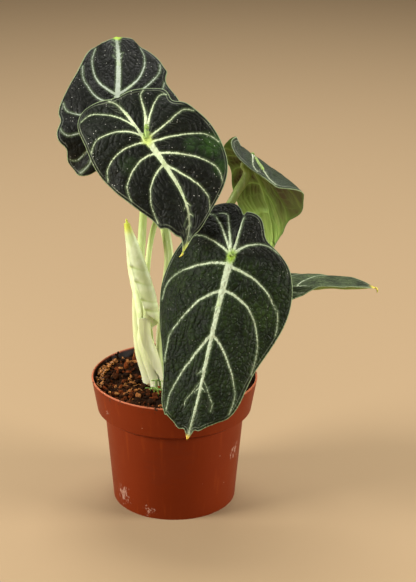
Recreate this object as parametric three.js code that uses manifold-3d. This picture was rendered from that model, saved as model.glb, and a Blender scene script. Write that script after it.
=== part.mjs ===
import * as THREE from 'three';
import { mergeVertices } from 'three/addons/utils/BufferGeometryUtils.js';
import Module from 'manifold-3d';

// A young alocasia in a nursery pot. Millimetres, +Z up, the pot's foot on z = 0,
// the pot's axis on x = y = 0, the front of the plant towards -Y.

const potHeight = 94.5;
const potRimRadius = 60;
const potBandFootRadius = 56;
const potBandFootZ = 70.6;
const potShoulderRadius = 50.5;
const potShoulderZ = 66.5;
const potBaseRadius = 45;
const potWall = 1.3;
const potFootHeight = 3;
const potFootWidth = 3;
const potPadRadius = 8;
const potLipRound = 0.6;
const potStepInside = 1;
const drainHoleRadius = 4;
const drainRingRadius = 28;
const drainHoleCount = 6;
const potSides = 36;
const holeSides = 12;

const soilTopZ = 88;
const soilClearance = 0.35;
const soilStepInset = 0.5;
const soilEdgeDrop = 4;
const soilTilt = 0.06;
const soilHump = 0.8;
const soilRings = [53, 43, 30, 15, 0];
const soilSides = 36;
const holeClearance = 0.7;
const rootDepth = 13;

const bladeThickness = 1.1;
const bladeAcross = 6;
const stalkSides = 9;
const stalkGap = 0.6;
const stalkBend = 9;
const stalkTop = 1.9;
const youngGap = 0.5;
const youngFlatness = 0.62;
const youngSides = 12;

const colours = {
  pot: 0x9a3b15,
  soil: 0x2c1f14,
  bladeDark: 0x2a3127,
  bladeGreen: 0x36422a,
  bladeYoung: 0xd2d9a8,
  stalk: 0xc3c98e,
};

function material(colour, roughness) {
  return new THREE.MeshStandardMaterial({ color: colour, roughness, metalness: 0 });
}

// Closed solids go through manifold-3d only to be cut or joined.
const wasm = await Module();
wasm.setup();

function toSolid(geometry) {
  const plain = geometry.clone();
  plain.deleteAttribute('normal');
  plain.deleteAttribute('uv');
  const merged = mergeVertices(plain, 1e-4);
  return new wasm.Manifold(new wasm.Mesh({
    numProp: 3,
    vertProperties: new Float32Array(merged.attributes.position.array),
    triVerts: new Uint32Array(merged.index.array),
  }));
}

function toGeometry(solid) {
  const mesh = solid.getMesh();
  const geometry = new THREE.BufferGeometry();
  geometry.setAttribute('position', new THREE.BufferAttribute(new Float32Array(mesh.vertProperties), 3));
  geometry.setIndex(new THREE.BufferAttribute(new Uint32Array(mesh.triVerts), 1));
  geometry.computeVertexNormals();
  return geometry;
}

function meshFromLists(positions, triangles) {
  const geometry = new THREE.BufferGeometry();
  geometry.setAttribute('position', new THREE.Float32BufferAttribute(positions.flat(), 3));
  geometry.setIndex(triangles.flat());
  geometry.computeVertexNormals();
  return geometry;
}

// A turned body: profile points are [radius, z], anticlockwise round the material.
function turned(profile, sides) {
  const points = profile.map(([radius, z]) => new THREE.Vector2(radius, z));
  const geometry = new THREE.LatheGeometry(points, sides);
  geometry.rotateX(Math.PI / 2);
  return geometry;
}

// A round pin that stands upright, its middle at the origin.
function uprightPin(topRadius, footRadius, height, sides) {
  const pin = new THREE.CylinderGeometry(topRadius, footRadius, height, sides);
  pin.rotateX(Math.PI / 2);
  return pin;
}

// A smooth curve through values that stand at 0, 1, 2 and so on.
function spline(values, at) {
  const last = values.length - 1;
  const x = Math.min(Math.max(at, 0), last);
  const i = Math.min(Math.floor(x), last - 1);
  const f = x - i;
  const p1 = values[i];
  const p2 = values[i + 1];
  const p0 = i > 0 ? values[i - 1] : 2 * p1 - p2;
  const p3 = i < last - 1 ? values[i + 2] : 2 * p2 - p1;
  const curve = 2 * p0 - 5 * p1 + 4 * p2 - p3 + f * (3 * (p1 - p2) + p3 - p0);
  return p1 + 0.5 * f * (p2 - p0 + f * curve);
}

// Leaves. A blade hangs on its stalk inside the lobes, at the point "at". From there its midrib
// runs "ahead" and its upper face looks to "face". Nine main veins lead to each half's edge: the
// first along the cleft between the lobes, the last to the tip. Of each vein, "start" is where it
// leaves the midrib, "reach" and "angle" give its end as seen from "at", "bow" is how far it
// swings out, and "lift" how far the waved edge stands up there. "droop" bends the blade down
// ahead of the stalk and behind it, "fold" and "curl" raise and roll its halves, and "sway"
// swings the midrib sideways. Each of the "notches" in the edge is [vein, depth].
const backLeaf = {
  name: 'back', colour: colours.bladeDark, steps: 3,
  at: [-42.3, 24, 281.2], ahead: [0.11, 0.67, 0.73], face: [-0.01, -0.65, 0.76],
  length: 70, droop: [20, 40], sway: [11, -1],
  start: [0, 0, 0, 0, 3, 9, 15, 39, 70],
  left: {
    fold: 6, curl: 14,
    angle: [180, 158, 146, 118, 88, 45, 18, 10, 0],
    reach: [32, 50, 53, 44, 41, 42, 60, 61, 70],
    bow: [0, 5, 11, 28, 35, 62, 56, 34, 0],
    lift: [0, 3, -3, 4, -3, 3, -2, 1, 0],
    notches: [[2.5, 6], [3.5, 3]],
  },
  right: {
    fold: 6, curl: 14,
    angle: [180, 153, 118, 86, 49, 37, 17, 9, 0],
    reach: [32, 46, 48, 49, 46, 54, 65, 68, 70],
    bow: [0, 5, 12, 30, 34, 22, 37, 33, 0],
    lift: [0, 2, -2, 3, -2, 2, -2, 1, 0],
    notches: [[4.6, -3]],
  },
};
const middleLeaf = {
  name: 'middle', colour: colours.bladeDark, steps: 3,
  at: [-18.4, -14, 272.7], ahead: [0.57, -0.41, -0.71], face: [-0.05, -0.92, 0.4],
  length: 77, droop: [12, 14], sway: [0, -24],
  start: [0, 0, 0, 0, 3, 12, 21, 38, 77],
  left: {
    fold: 8, curl: 18,
    angle: [180, 156, 130, 95, 60, 33, 17, 10, 0],
    reach: [37, 35, 37, 37, 48, 61, 66, 70, 77],
    bow: [0, -11, 15, -4, 10, 20, 6, -21, 0],
    lift: [0, 2, -2, 3, -2, 2, -2, 1, 0],
    notches: [[2.5, 5], [7.6, 2]],
  },
  right: {
    fold: 6, curl: 18,
    angle: [180, 173, 147, 118, 85, 54, 28, 13, 0],
    reach: [37, 38, 53, 43, 41, 44, 54, 63, 77],
    bow: [0, 6, 30, 41, 38, 46, 43, 5, 0],
    lift: [0, 2, -2, 2, -1, 2, -1, 1, 0],
    notches: [[6.3, -2.5], [7.6, 2.5]],
  },
};
const frontLeaf = {
  name: 'front', colour: colours.bladeGreen, steps: 3,
  at: [38.9, -44, 201], ahead: [-0.25, -0.37, -0.9], face: [-0.21, -0.91, 0.34],
  length: 128, droop: [8, 48], sway: [6, -4.6],
  start: [0, 0, 0, 6, 24, 54, 85, 103, 128],
  left: {
    fold: -6, curl: 26,
    angle: [180, 172, 122, 56, 26, 14, 8, 4, 0],
    reach: [30, 32, 30, 58, 78, 106, 113, 118, 128],
    bow: [0, -8, 26, 30, 53, 25, 9, 4, 0],
    lift: [0, 3, -2, 2, -2, 1, -1, 1, 0],
    notches: [[1.35, -2.5], [1.8, 2], [7.65, 4]],
  },
  right: {
    fold: -6, curl: 26,
    angle: [180, 157, 104, 56, 24, 12, 9, 5, 0],
    reach: [30, 46, 37, 59, 83, 115, 117, 121, 128],
    bow: [0, 4, 20, 25, 28, 10, -8, -6, 0],
    lift: [0, -3, 2, -2, 2, -2, 1, -1, 0],
    notches: [[4.7, -1.5], [7.65, 4]],
  },
};
const farLeaf = {
  name: 'far', colour: colours.bladeGreen, steps: 2,
  at: [52.3, 32, 249.3], ahead: [0.3, 0.62, -0.72], face: [0.48, 0.35, 0.8],
  length: 95, droop: [42, 60], sway: [-33, 23],
  start: [0, 0, 0, 0, 5, 15, 31, 55, 95],
  left: {
    fold: -10, curl: 20,
    angle: [180, 140, 112, 98, 80, 46, 31, 18, 0],
    reach: [28, 16, 19, 22, 23, 26, 46, 73, 95],
    bow: [0, 5, 12, 20, 24, 28, 30, 24, 0],
    lift: [0, 8, 8, 3, 0, -3, -3, 0, 0],
  },
  right: {
    fold: -9, curl: -3,
    angle: [180, 144, 133, 121, 74, 26, 7, 1, 0],
    reach: [28, 47, 56, 64, 53, 54, 70, 84, 95],
    bow: [0, 5, 12, 26, 30, 32, 30, 24, 0],
    lift: [0, 1, 1, 2, 0, 0, -1, 0, 0],
  },
};
const sideLeaf = {
  name: 'side', colour: colours.bladeGreen, steps: 2,
  at: [61.8, 0, 160.9], ahead: [1, -0.03, 0.08], face: [0, -0.02, 1],
  length: 80, droop: [4, 8], sway: [0, -2],
  start: [0, 0, 0, 0, 4, 12, 25, 45, 80],
  left: {
    fold: 2, curl: 6,
    angle: [180, 153, 118, 86, 62, 44, 28, 13, 0],
    reach: [27, 34, 33, 33, 34, 41, 51, 66, 80],
    bow: [0, 5, 12, 26, 30, 32, 30, 24, 0],
    lift: [-3, 0, 0, 0, 0, 0, 0, 1, 0],
  },
  right: {
    fold: 20, curl: 0,
    angle: [180, 153, 118, 86, 62, 44, 28, 13, 0],
    reach: [27, 34, 33, 33, 34, 39, 48, 63, 80],
    bow: [0, 5, 12, 26, 30, 32, 30, 24, 0],
    lift: [-3, -9, -12, -12, -10, -5, 1, 0, 0],
  },
};
const hiddenLeaf = {
  name: 'hidden', colour: colours.bladeGreen, steps: 2,
  at: [8.5, 26, 253.4], ahead: [0.28, -0.15, -0.95], face: [0.1, -0.9, 0.3],
  length: 36, droop: [20, 10], sway: [0, 0],
  start: [0, 0, 0, 0, 2, 6, 12, 21, 36],
  left: {
    fold: 6, curl: 12,
    angle: [180, 153, 118, 86, 62, 44, 28, 13, 0],
    reach: [12, 16, 15, 15, 16, 19, 24, 30, 36],
    bow: [0, 5, 12, 26, 30, 32, 30, 24, 0],
    lift: [0, 1, -1, 1, -1, 1, 0, 0, 0],
  },
  right: {
    fold: 6, curl: 12,
    angle: [180, 153, 118, 86, 62, 44, 28, 13, 0],
    reach: [12, 16, 15, 15, 16, 19, 24, 30, 36],
    bow: [0, 5, 12, 26, 30, 32, 30, 24, 0],
    lift: [0, 1, -1, 1, -1, 1, 0, 0, 0],
  },
};
const leaves = [backLeaf, middleLeaf, frontLeaf, farLeaf, sideLeaf, hiddenLeaf];
const veinCount = 9;
const notchWidth = 0.28;

const radians = THREE.MathUtils.degToRad;

// Where a point lies on the flattened blade: along the midrib and out from it. "vein" runs from
// 0 to 8 round the half blade and "out" from 0 on the midrib to 1 on the edge.
function flatPoint(leaf, half, vein, out) {
  const from = spline(leaf.start, vein);
  const angle = radians(spline(half.angle, vein));
  const cuts = (half.notches ?? []).map(([at, depth]) => depth * Math.exp(-(((vein - at) / notchWidth) ** 2)));
  const reach = cuts.reduce((rest, cut) => rest - cut, spline(half.reach, vein));
  const endAlong = reach * Math.cos(angle);
  const endAcross = reach * Math.sin(angle);
  const chord = Math.hypot(endAlong - from, endAcross);
  const swing = Math.atan2(endAcross, endAlong - from) + radians(spline(half.bow, vein));
  const midAlong = from + 0.5 * chord * Math.cos(swing);
  const midAcross = 0.5 * chord * Math.sin(swing);
  const rest = 1 - out;
  return {
    along: rest * rest * from + 2 * out * rest * midAlong + out * out * endAlong,
    across: 2 * out * rest * midAcross + out * out * endAcross,
  };
}

// The blade's own axes: ahead along the midrib, left, and up out of the upper face.
function bladeAxes(leaf) {
  const ahead = new THREE.Vector3(...leaf.ahead).normalize();
  const up = new THREE.Vector3(...leaf.face);
  up.addScaledVector(ahead, -up.dot(ahead)).normalize();
  const left = new THREE.Vector3().crossVectors(up, ahead);
  return { ahead, left, up };
}

const lobeShare = 0.4;
const curlShare = 0.35;
const stalkSpread = 0.5;
const nearZero = 1e-6;

// A point of the bent and waved blade. side is 1 for the left half and -1 for the right half.
function bladePoint(leaf, side, vein, out) {
  const half = side > 0 ? leaf.left : leaf.right;
  const { along, across } = flatPoint(leaf, half, vein, out);
  const bendPerLength = along >= 0
    ? radians(leaf.droop[0]) / leaf.length
    : radians(leaf.droop[1]) / (lobeShare * leaf.length);
  const bend = bendPerLength * along;
  const fold = radians(half.fold);
  const roll = Math.max(Math.abs(radians(half.curl)), nearZero) / (curlShare * leaf.length);
  const slope = fold - roll * across;
  const sideways = side * (Math.sin(fold) - Math.sin(slope)) / roll;
  const raised = (Math.cos(slope) - Math.cos(fold)) / roll;
  const share = Math.max(along / leaf.length, 0);
  const swayed = sideways + leaf.sway[0] * share ** 2 + leaf.sway[1] * share ** 5;
  const edge = out * out * spline(half.lift, vein);
  const height = raised + edge;
  const forward = Math.sin(bend) / bendPerLength + height * Math.sin(bend);
  const upward = (Math.cos(bend) - 1) / bendPerLength + height * Math.cos(bend);
  const axes = bladeAxes(leaf);
  return new THREE.Vector3(...leaf.at)
    .addScaledVector(axes.ahead, forward)
    .addScaledVector(axes.left, swayed)
    .addScaledVector(axes.up, upward);
}

// The blade as one closed sheet: a grid on the middle surface, moved half the thickness up and
// half down along its own normals, with the two faces split alike and joined round the edge.
function blade(leaf) {
  const points = [];
  const index = new Map();
  const last = (veinCount - 1) * leaf.steps;
  const key = (side, row, column) => {
    if (row === last) return 'tip';
    if (row === 0) return column === 0 ? 'stalk' : `cleft ${column}`;
    if (column > 0) return `${side} ${row} ${column}`;
    return spline(leaf.start, row / leaf.steps) < stalkSpread ? 'stalk' : `midrib ${row}`;
  };
  const vertex = (side, row, column) => {
    const name = key(side, row, column);
    if (!index.has(name)) {
      index.set(name, points.length);
      const atStalk = name === 'stalk';
      points.push(bladePoint(leaf, side, atStalk ? 0 : row / leaf.steps, atStalk ? 0 : column / bladeAcross));
    }
    return index.get(name);
  };
  const faces = [];
  const addFace = (a, b, c) => {
    if (a !== b && b !== c && c !== a) faces.push([a, b, c]);
  };
  const edge = [];
  for (const side of [1, -1]) {
    for (let row = 0; row < last; row += 1) {
      for (let column = 0; column < bladeAcross; column += 1) {
        const a = vertex(side, row, column);
        const b = vertex(side, row, column + 1);
        const c = vertex(side, row + 1, column + 1);
        const d = vertex(side, row + 1, column);
        if (side > 0) {
          addFace(a, c, b);
          addFace(a, d, c);
        } else {
          addFace(a, b, c);
          addFace(a, c, d);
        }
      }
      const near = vertex(side, row, bladeAcross);
      const next = vertex(side, row + 1, bladeAcross);
      edge.push(side > 0 ? [next, near] : [near, next]);
    }
  }
  const normals = points.map(() => new THREE.Vector3());
  for (const [a, b, c] of faces) {
    const ab = new THREE.Vector3().subVectors(points[b], points[a]);
    const ac = new THREE.Vector3().subVectors(points[c], points[a]);
    ab.cross(ac);
    for (const corner of [a, b, c]) normals[corner].add(ab);
  }
  const positions = [];
  for (const shift of [bladeThickness / 2, -bladeThickness / 2]) {
    points.forEach((point, i) => {
      const moved = point.clone().addScaledVector(normals[i].normalize(), shift);
      positions.push(moved.toArray());
    });
  }
  const count = points.length;
  const triangles = [];
  for (const [a, b, c] of faces) triangles.push([a, b, c], [a + count, c + count, b + count]);
  for (const [a, b] of edge) triangles.push([a, b + count, b], [a, a + count, b + count]);
  return meshFromLists(positions, triangles);
}

// A round tapering bar along a curve. Stations are [x, y, z, radius].
function taperedBar(stations, sides, steps, flatten = 1) {
  const curve = new THREE.CatmullRomCurve3(stations.map(([x, y, z]) => new THREE.Vector3(x, y, z)));
  const radii = stations.map((station) => station[3]);
  const frames = curve.computeFrenetFrames(steps, false);
  const positions = [];
  const triangles = [];
  for (let step = 0; step <= steps; step += 1) {
    const share = step / steps;
    const parameter = curve.getUtoTmapping(share);
    const centre = curve.getPointAt(share);
    const radius = spline(radii, parameter * (radii.length - 1));
    for (let corner = 0; corner < sides; corner += 1) {
      const turn = (2 * Math.PI * corner) / sides;
      const point = centre.clone()
        .addScaledVector(frames.normals[step], radius * Math.cos(turn))
        .addScaledVector(frames.binormals[step], radius * flatten * Math.sin(turn));
      positions.push(point.toArray());
    }
  }
  const ends = [curve.getPointAt(0), curve.getPointAt(1)];
  const firstCentre = positions.length;
  const lastCentre = firstCentre + 1;
  positions.push(ends[0].toArray(), ends[1].toArray());
  for (let corner = 0; corner < sides; corner += 1) {
    const next = (corner + 1) % sides;
    for (let step = 0; step < steps; step += 1) {
      const a = step * sides + corner;
      const b = step * sides + next;
      triangles.push([a, b, b + sides], [a, b + sides, a + sides]);
    }
    triangles.push([firstCentre, next, corner]);
    triangles.push([lastCentre, steps * sides + corner, steps * sides + next]);
  }
  return meshFromLists(positions, triangles);
}

// A station of the stalk under the blade, straight below its point "at".
function underBlade(leaf, depth) {
  const { up } = bladeAxes(leaf);
  const point = new THREE.Vector3(...leaf.at).addScaledVector(up, -depth);
  return [...point.toArray(), stalkTop];
}

// Stalks rise from the soil in one clump, sheathed and thick at the foot. Their points are
// [x, y, z, radius] and were chosen by eye.
const stalks = [
  {
    name: 'stalk_middle',
    points: [
      [-19, -4, 92, 4.4], [-24, -4, 112, 4.0], [-26.5, -4, 136, 3.4], [-26.5, -3, 160, 3.2],
      [-24, 0, 185, 3.0], [-22, 3, 215, 2.7], [-20, 2, 245, 2.5],
    ],
    leaf: middleLeaf,
  },
  {
    name: 'stalk_back',
    points: [
      [-9, 4, 92, 4.2], [-10, 5, 118, 3.6], [-6.5, 8, 158, 3.2], [-4.5, 11, 182, 3.2],
      [-8, 16, 203, 3.3], [-17.5, 24, 238, 2.9], [-31, 30, 264, 2.5],
    ],
    leaf: backLeaf,
  },
  {
    name: 'stalk_hidden',
    points: [
      [-16, 12, 92, 2.6], [-19, 12, 130, 2.2], [-19.5, 10, 175, 2.0],
      [-15, 8, 203, 2.0], [-8.5, 10, 222, 1.9], [-10, 22, 238, 1.9], [-4, 33, 249, 1.8],
    ],
    leaf: hiddenLeaf,
  },
  {
    name: 'stalk_front',
    points: [
      [-5, -6, 92, 3.8], [-1, -8, 118, 3.3], [9, -13, 152, 3.0], [24, -22, 182, 2.8],
    ],
    leaf: frontLeaf,
  },
  {
    name: 'stalk_far',
    points: [
      [-7, 15, 92, 3.8], [-2, 19, 118, 3.4], [9, 23, 155, 3.1], [26, 25, 193, 3.0],
      [42, 26, 222, 2.9], [50, 29, 240, 2.8],
    ],
    leaf: farLeaf,
  },
  {
    name: 'stalk_side',
    points: [
      [0.5, 6, 92, 3.2], [7, 7, 112, 2.9], [23, 5, 134, 2.7], [44, 2, 149, 2.5],
    ],
    leaf: sideLeaf,
  },
];

function stalkStations(stalk) {
  const [x, y, z, radius] = stalk.points[0];
  const foot = [x, y, z - rootDepth, radius];
  return [
    foot,
    ...stalk.points,
    underBlade(stalk.leaf, stalkBend),
    underBlade(stalk.leaf, bladeThickness / 2 + stalkGap),
  ];
}

// The youngest leaf is still rolled into a spindle on its own short stalk.
const youngStalkTopZ = 136.5;
const youngStalkPoints = [
  [-12.5, -12.5, 79, 4.6], [-12.5, -12.5, 92, 4.6], [-17, -14.5, 114, 6.0], [-21.2, -15.4, 129, 5.2],
  [-21.6, -15.5, youngStalkTopZ, 3.6],
];
const youngBladePoints = [
  [-21.6, -15.5, youngStalkTopZ + youngGap, 3.2], [-21.6, -15.6, 140, 4.4], [-20, -16.5, 148, 6.6],
  [-20.6, -17, 160, 7.5], [-23.9, -16.5, 174, 7.1], [-27.1, -16, 188, 5.7], [-29.7, -16, 202, 3.3],
  [-31.9, -16, 212, 1.4], [-32.8, -16, 217, 0.5],
];

// Pot: a thin tapered cup with a foot ring, a small round pad under its middle, a plain band
// under the rim and drain holes between pad and ring.
function pot() {
  const profile = [
    [0, 0],
    [potPadRadius, 0],
    [potPadRadius, potFootHeight],
    [potBaseRadius - potFootWidth, potFootHeight],
    [potBaseRadius - potFootWidth, 0],
    [potBaseRadius, 0],
    [potShoulderRadius, potShoulderZ],
    [potBandFootRadius, potBandFootZ],
    [potRimRadius, potHeight - potLipRound],
    [potRimRadius - potLipRound / 2, potHeight],
    [potRimRadius - potWall, potHeight],
    [potBandFootRadius - potWall, potBandFootZ + potStepInside],
    [potShoulderRadius - potWall, potShoulderZ + potStepInside],
    [potBaseRadius - potWall, potFootHeight + potWall],
    [0, potFootHeight + potWall],
  ];
  let solid = toSolid(turned(profile, potSides));
  for (let hole = 0; hole < drainHoleCount; hole += 1) {
    const turn = (2 * Math.PI * hole) / drainHoleCount;
    const drill = uprightPin(drainHoleRadius, drainHoleRadius, 4 * potFootHeight, holeSides);
    drill.translate(drainRingRadius * Math.cos(turn), drainRingRadius * Math.sin(turn), potFootHeight);
    solid = solid.subtract(toSolid(drill));
  }
  return toGeometry(solid);
}

// The soil's level: a little lower at the back, with low broad humps and smaller ones.
function soilLevel(x, y) {
  const broad = Math.sin(x / 9) * Math.cos(y / 11);
  const small = 0.6 * Math.sin((x + 2 * y) / 7);
  return soilTopZ - soilTilt * y + soilHump * (broad + small);
}

// A seeded draw, so that the scattered bits lie alike at every build.
function seededDraw(seed) {
  let state = seed;
  return () => {
    state = (state * 1664525 + 1013904223) % 4294967296;
    return state / 4294967296;
  };
}

// Bark chips lie near the pot's wall, half sunk and tipped at random.
const chips = { count: 14, seed: 7, nearest: 26, spread: 24, least: 2.5, more: 3, tip: 0.9, lift: 0.15 };
const chipShape = [1.6, 1, 0.8];

function chipSolids() {
  const draw = seededDraw(chips.seed);
  const solids = [];
  for (let chip = 0; chip < chips.count; chip += 1) {
    const turn = 2 * Math.PI * draw();
    const radius = chips.nearest + chips.spread * Math.sqrt(draw());
    const size = chips.least + chips.more * draw();
    const box = new THREE.BoxGeometry(...chipShape.map((share) => size * share));
    box.rotateX(chips.tip * (draw() - 0.5));
    box.rotateZ(Math.PI * draw());
    const x = radius * Math.cos(turn);
    const y = radius * Math.sin(turn);
    box.translate(x, y, soilLevel(x, y) + size * chips.lift);
    solids.push(toSolid(box));
  }
  return solids;
}

// Seedlings: a thread-thin stem that bears two small seed leaves.
const seedlingSpots = [[-26, -8], [-24, -16], [-13, -21], [-3, -16], [-18, -21], [-9, -27]];
const seedling = {
  height: 6, root: 4, topRadius: 0.4, footRadius: 0.5, stemSides: 5, leaf: 1.9, leafOut: 1.6, leafDrop: 0.6,
};
const seedLeafShape = [1, 0.6, 0.35];
const seedLeafTilt = 0.5;

function seedlingSolids() {
  const solids = [];
  for (const [x, y] of seedlingSpots) {
    const level = soilLevel(x, y);
    const length = seedling.height + seedling.root;
    const stem = uprightPin(seedling.topRadius, seedling.footRadius, length, seedling.stemSides);
    stem.translate(x, y, level + (seedling.height - seedling.root) / 2);
    solids.push(toSolid(stem));
    for (const side of [-1, 1]) {
      const seedLeaf = new THREE.OctahedronGeometry(seedling.leaf);
      seedLeaf.scale(...seedLeafShape);
      seedLeaf.rotateY(-side * seedLeafTilt);
      seedLeaf.translate(x + side * seedling.leafOut, y, level + seedling.height - seedling.leafDrop);
      solids.push(toSolid(seedLeaf));
    }
  }
  return solids;
}

// Two bare twigs stand at the back, inside the rim. Their ends are [x, y, z, radius].
const twigs = [
  [[-40, 31, 82, 1], [-43, 32, 98, 0.6]],
  [[-32, 38, 82, 1], [-30, 40, 99, 0.6]],
];
const twigSides = 5;

function soil() {
  const inset = potWall + soilClearance;
  const edgeZ = soilTopZ - soilEdgeDrop;
  const edgeShare = (edgeZ - potBandFootZ) / (potHeight - potBandFootZ);
  const edgeRadius = potBandFootRadius + edgeShare * (potRimRadius - potBandFootRadius);
  const profile = [
    [0, potFootHeight + inset],
    [potBaseRadius - inset, potFootHeight + inset],
    [potShoulderRadius - inset - soilStepInset, potShoulderZ + potStepInside],
    [potBandFootRadius - inset - soilStepInset, potBandFootZ + 2 * potStepInside],
    [edgeRadius - inset - soilStepInset, edgeZ],
    ...soilRings.map((radius) => [radius, soilTopZ]),
  ];
  const body = turned(profile, soilSides);
  const place = body.attributes.position;
  for (let i = 0; i < place.count; i += 1) {
    const isTop = place.getZ(i) > edgeZ + soilEdgeDrop / 2;
    if (isTop) place.setZ(i, soilLevel(place.getX(i), place.getY(i)));
  }
  let solid = toSolid(body);
  for (const chip of chipSolids()) solid = solid.add(chip);
  for (const bit of seedlingSolids()) solid = solid.add(bit);
  for (const twig of twigs) solid = solid.add(toSolid(taperedBar(twig, twigSides, 1)));
  for (const stalk of stalks) solid = solid.subtract(toSolid(socket(stalk.points[0])));
  solid = solid.subtract(toSolid(socket(youngStalkPoints[1])));
  return toGeometry(solid);
}

// The plain hole in the soil that a stalk's foot stands in.
function socket([x, y, z, radius]) {
  const holeRadius = radius + holeClearance;
  const bottom = z - rootDepth - holeClearance;
  const top = z + rootDepth;
  const hole = uprightPin(holeRadius, holeRadius, top - bottom, holeSides);
  hole.translate(x, y, (top + bottom) / 2);
  return hole;
}

const plant = new THREE.Group();

function addMesh(name, geometry, look) {
  const mesh = new THREE.Mesh(geometry, look);
  mesh.name = name;
  plant.add(mesh);
}

function barSteps(stations) {
  return 2 * stations.length + 2;
}

addMesh('pot', pot(), material(colours.pot, 0.45));
addMesh('soil', soil(), material(colours.soil, 1));
for (const leaf of leaves) {
  addMesh(`blade_${leaf.name}`, blade(leaf), material(leaf.colour, 0.6));
}
for (const stalk of stalks) {
  const stations = stalkStations(stalk);
  addMesh(stalk.name, taperedBar(stations, stalkSides, barSteps(stations)), material(colours.stalk, 0.5));
}
const youngStalk = taperedBar(youngStalkPoints, stalkSides, barSteps(youngStalkPoints));
addMesh('stalk_young', youngStalk, material(colours.stalk, 0.5));
const youngBlade = taperedBar(youngBladePoints, youngSides, barSteps(youngBladePoints), youngFlatness);
addMesh('blade_young', youngBlade, material(colours.bladeYoung, 0.55));

export default plant;
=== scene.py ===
import math
import random

import bmesh
import bpy
import numpy as np
from mathutils import Matrix, Vector, noise


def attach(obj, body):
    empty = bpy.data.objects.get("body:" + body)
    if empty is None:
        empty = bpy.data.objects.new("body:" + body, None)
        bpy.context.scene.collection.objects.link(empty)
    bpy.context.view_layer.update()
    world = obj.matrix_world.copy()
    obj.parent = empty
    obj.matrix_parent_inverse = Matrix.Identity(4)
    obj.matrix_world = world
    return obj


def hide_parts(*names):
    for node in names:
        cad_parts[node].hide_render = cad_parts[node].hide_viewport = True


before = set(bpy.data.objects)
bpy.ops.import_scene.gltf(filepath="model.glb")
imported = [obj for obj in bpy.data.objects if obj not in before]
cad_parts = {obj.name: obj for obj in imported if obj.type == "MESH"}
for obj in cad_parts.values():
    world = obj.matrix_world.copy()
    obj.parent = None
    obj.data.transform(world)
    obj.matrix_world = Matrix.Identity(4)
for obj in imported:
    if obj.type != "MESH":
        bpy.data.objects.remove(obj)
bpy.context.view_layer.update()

mm = 0.001


# Pot. One thin cup of moulded plastic in a terracotta colour, 120 mm across the rim. A plain
# band stands out under the rim, and the body tapers from a slanting step down to a foot ring.
# Six drain holes lie between the ring and a small pad under the middle.
pot_outside = [
    (0, 0), (8, 0), (8, 3), (42, 3), (42, 0), (45, 0), (50.5, 66.5), (56, 70.6), (60, 93.9), (59.4, 94.5),
]
pot_inside = [(58.9, 94.5), (58.7, 93.9), (54.7, 71.6), (49.2, 67.5), (43.7, 4.3), (0, 4.3)]
pot_sides = 144
pot_rounding = 0.4
wall_lean = 0.175
drain_radius, drain_ring, drain_count, drain_sides = 4, 28, 6, 24
drill_low, drill_high = -2, 8


def turned(profile, sides):
    """Points and faces of a body turned round the pot's axis from (radius, height) pairs."""
    points, rings, faces = [], [], []
    for radius, height in profile:
        count = 1 if radius == 0 else sides
        rings.append([len(points) + i % count for i in range(sides)])
        for i in range(count):
            turn = 2 * math.pi * i / sides
            points.append((radius * math.cos(turn), radius * math.sin(turn), height))
    for low, high in zip(rings, rings[1:]):
        for i in range(sides):
            j = (i + 1) % sides
            corners = dict.fromkeys([low[i], low[j], high[j], high[i]])
            if len(corners) > 2:
                faces.append(list(corners))
    return points, faces


def make_piece(name, points, faces, material, nodes=()):
    """Turns a mesh in millimetres into a piece of the plant that stands for the given solids."""
    mesh = bpy.data.meshes.new(name)
    mesh.from_pydata((np.asarray(points, float) * mm).tolist(), [], faces)
    mesh.materials.append(material)
    mesh.shade_smooth()
    piece = bpy.data.objects.new(name, mesh)
    bpy.context.collection.objects.link(piece)
    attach(piece, "root")
    if nodes:
        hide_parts(*nodes)
    return piece


def settle(piece):
    """Writes a piece's modifiers into its mesh."""
    shaped = piece.evaluated_get(bpy.context.evaluated_depsgraph_get())
    mesh = bpy.data.meshes.new_from_object(shaped)
    piece.modifiers.clear()
    piece.data = mesh


def srgb(red, green, blue):
    """A colour as it looks on a screen, from 0 to 255, as linear light."""
    parts = [value / 255 for value in (red, green, blue)]
    return tuple(((part + 0.055) / 1.055) ** 2.4 if part > 0.04 else part / 12.92 for part in parts) + (1,)


def place(tree, kind, inputs=None, **settings):
    """Adds a node. An input that is given as a socket is linked, and any other is set."""
    made = tree.nodes.new(kind)
    for key, value in settings.items():
        setattr(made, key, value)
    for key, value in (inputs or {}).items():
        if isinstance(value, bpy.types.NodeSocket):
            tree.links.new(value, made.inputs[key])
        else:
            made.inputs[key].default_value = value
    return made


def mixed(tree, share, first, second, blend="MIX"):
    """The second colour laid over the first by a share from 0 to 1."""
    inputs = {0: share, 6: first, 7: second}
    return place(tree, "ShaderNodeMix", inputs, data_type="RGBA", blend_type=blend).outputs[2]


def math_of(tree, operation, first, second=0.0):
    return place(tree, "ShaderNodeMath", {0: first, 1: second}, operation=operation).outputs[0]


def times(tree, first, second):
    return math_of(tree, "MULTIPLY", first, second)


def plus(tree, first, second):
    return math_of(tree, "ADD", first, second)


def rising(tree, value, empty, full):
    """A soft mask that is 0 where the value is at empty and 1 where it is at full."""
    inputs = {"Value": value, "From Min": empty, "From Max": full}
    return place(tree, "ShaderNodeMapRange", inputs, interpolation_type="SMOOTHSTEP").outputs["Result"]


def object_place(tree, stretch=(1, 1, 1)):
    """The place on the object, in metres, with its parts stretched."""
    spot = place(tree, "ShaderNodeTexCoord").outputs["Object"]
    return place(tree, "ShaderNodeVectorMath", {0: spot, 1: stretch}, operation="MULTIPLY").outputs[0]


def height_of(tree, where):
    return place(tree, "ShaderNodeSeparateXYZ", {0: where}).outputs["Z"]


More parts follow.
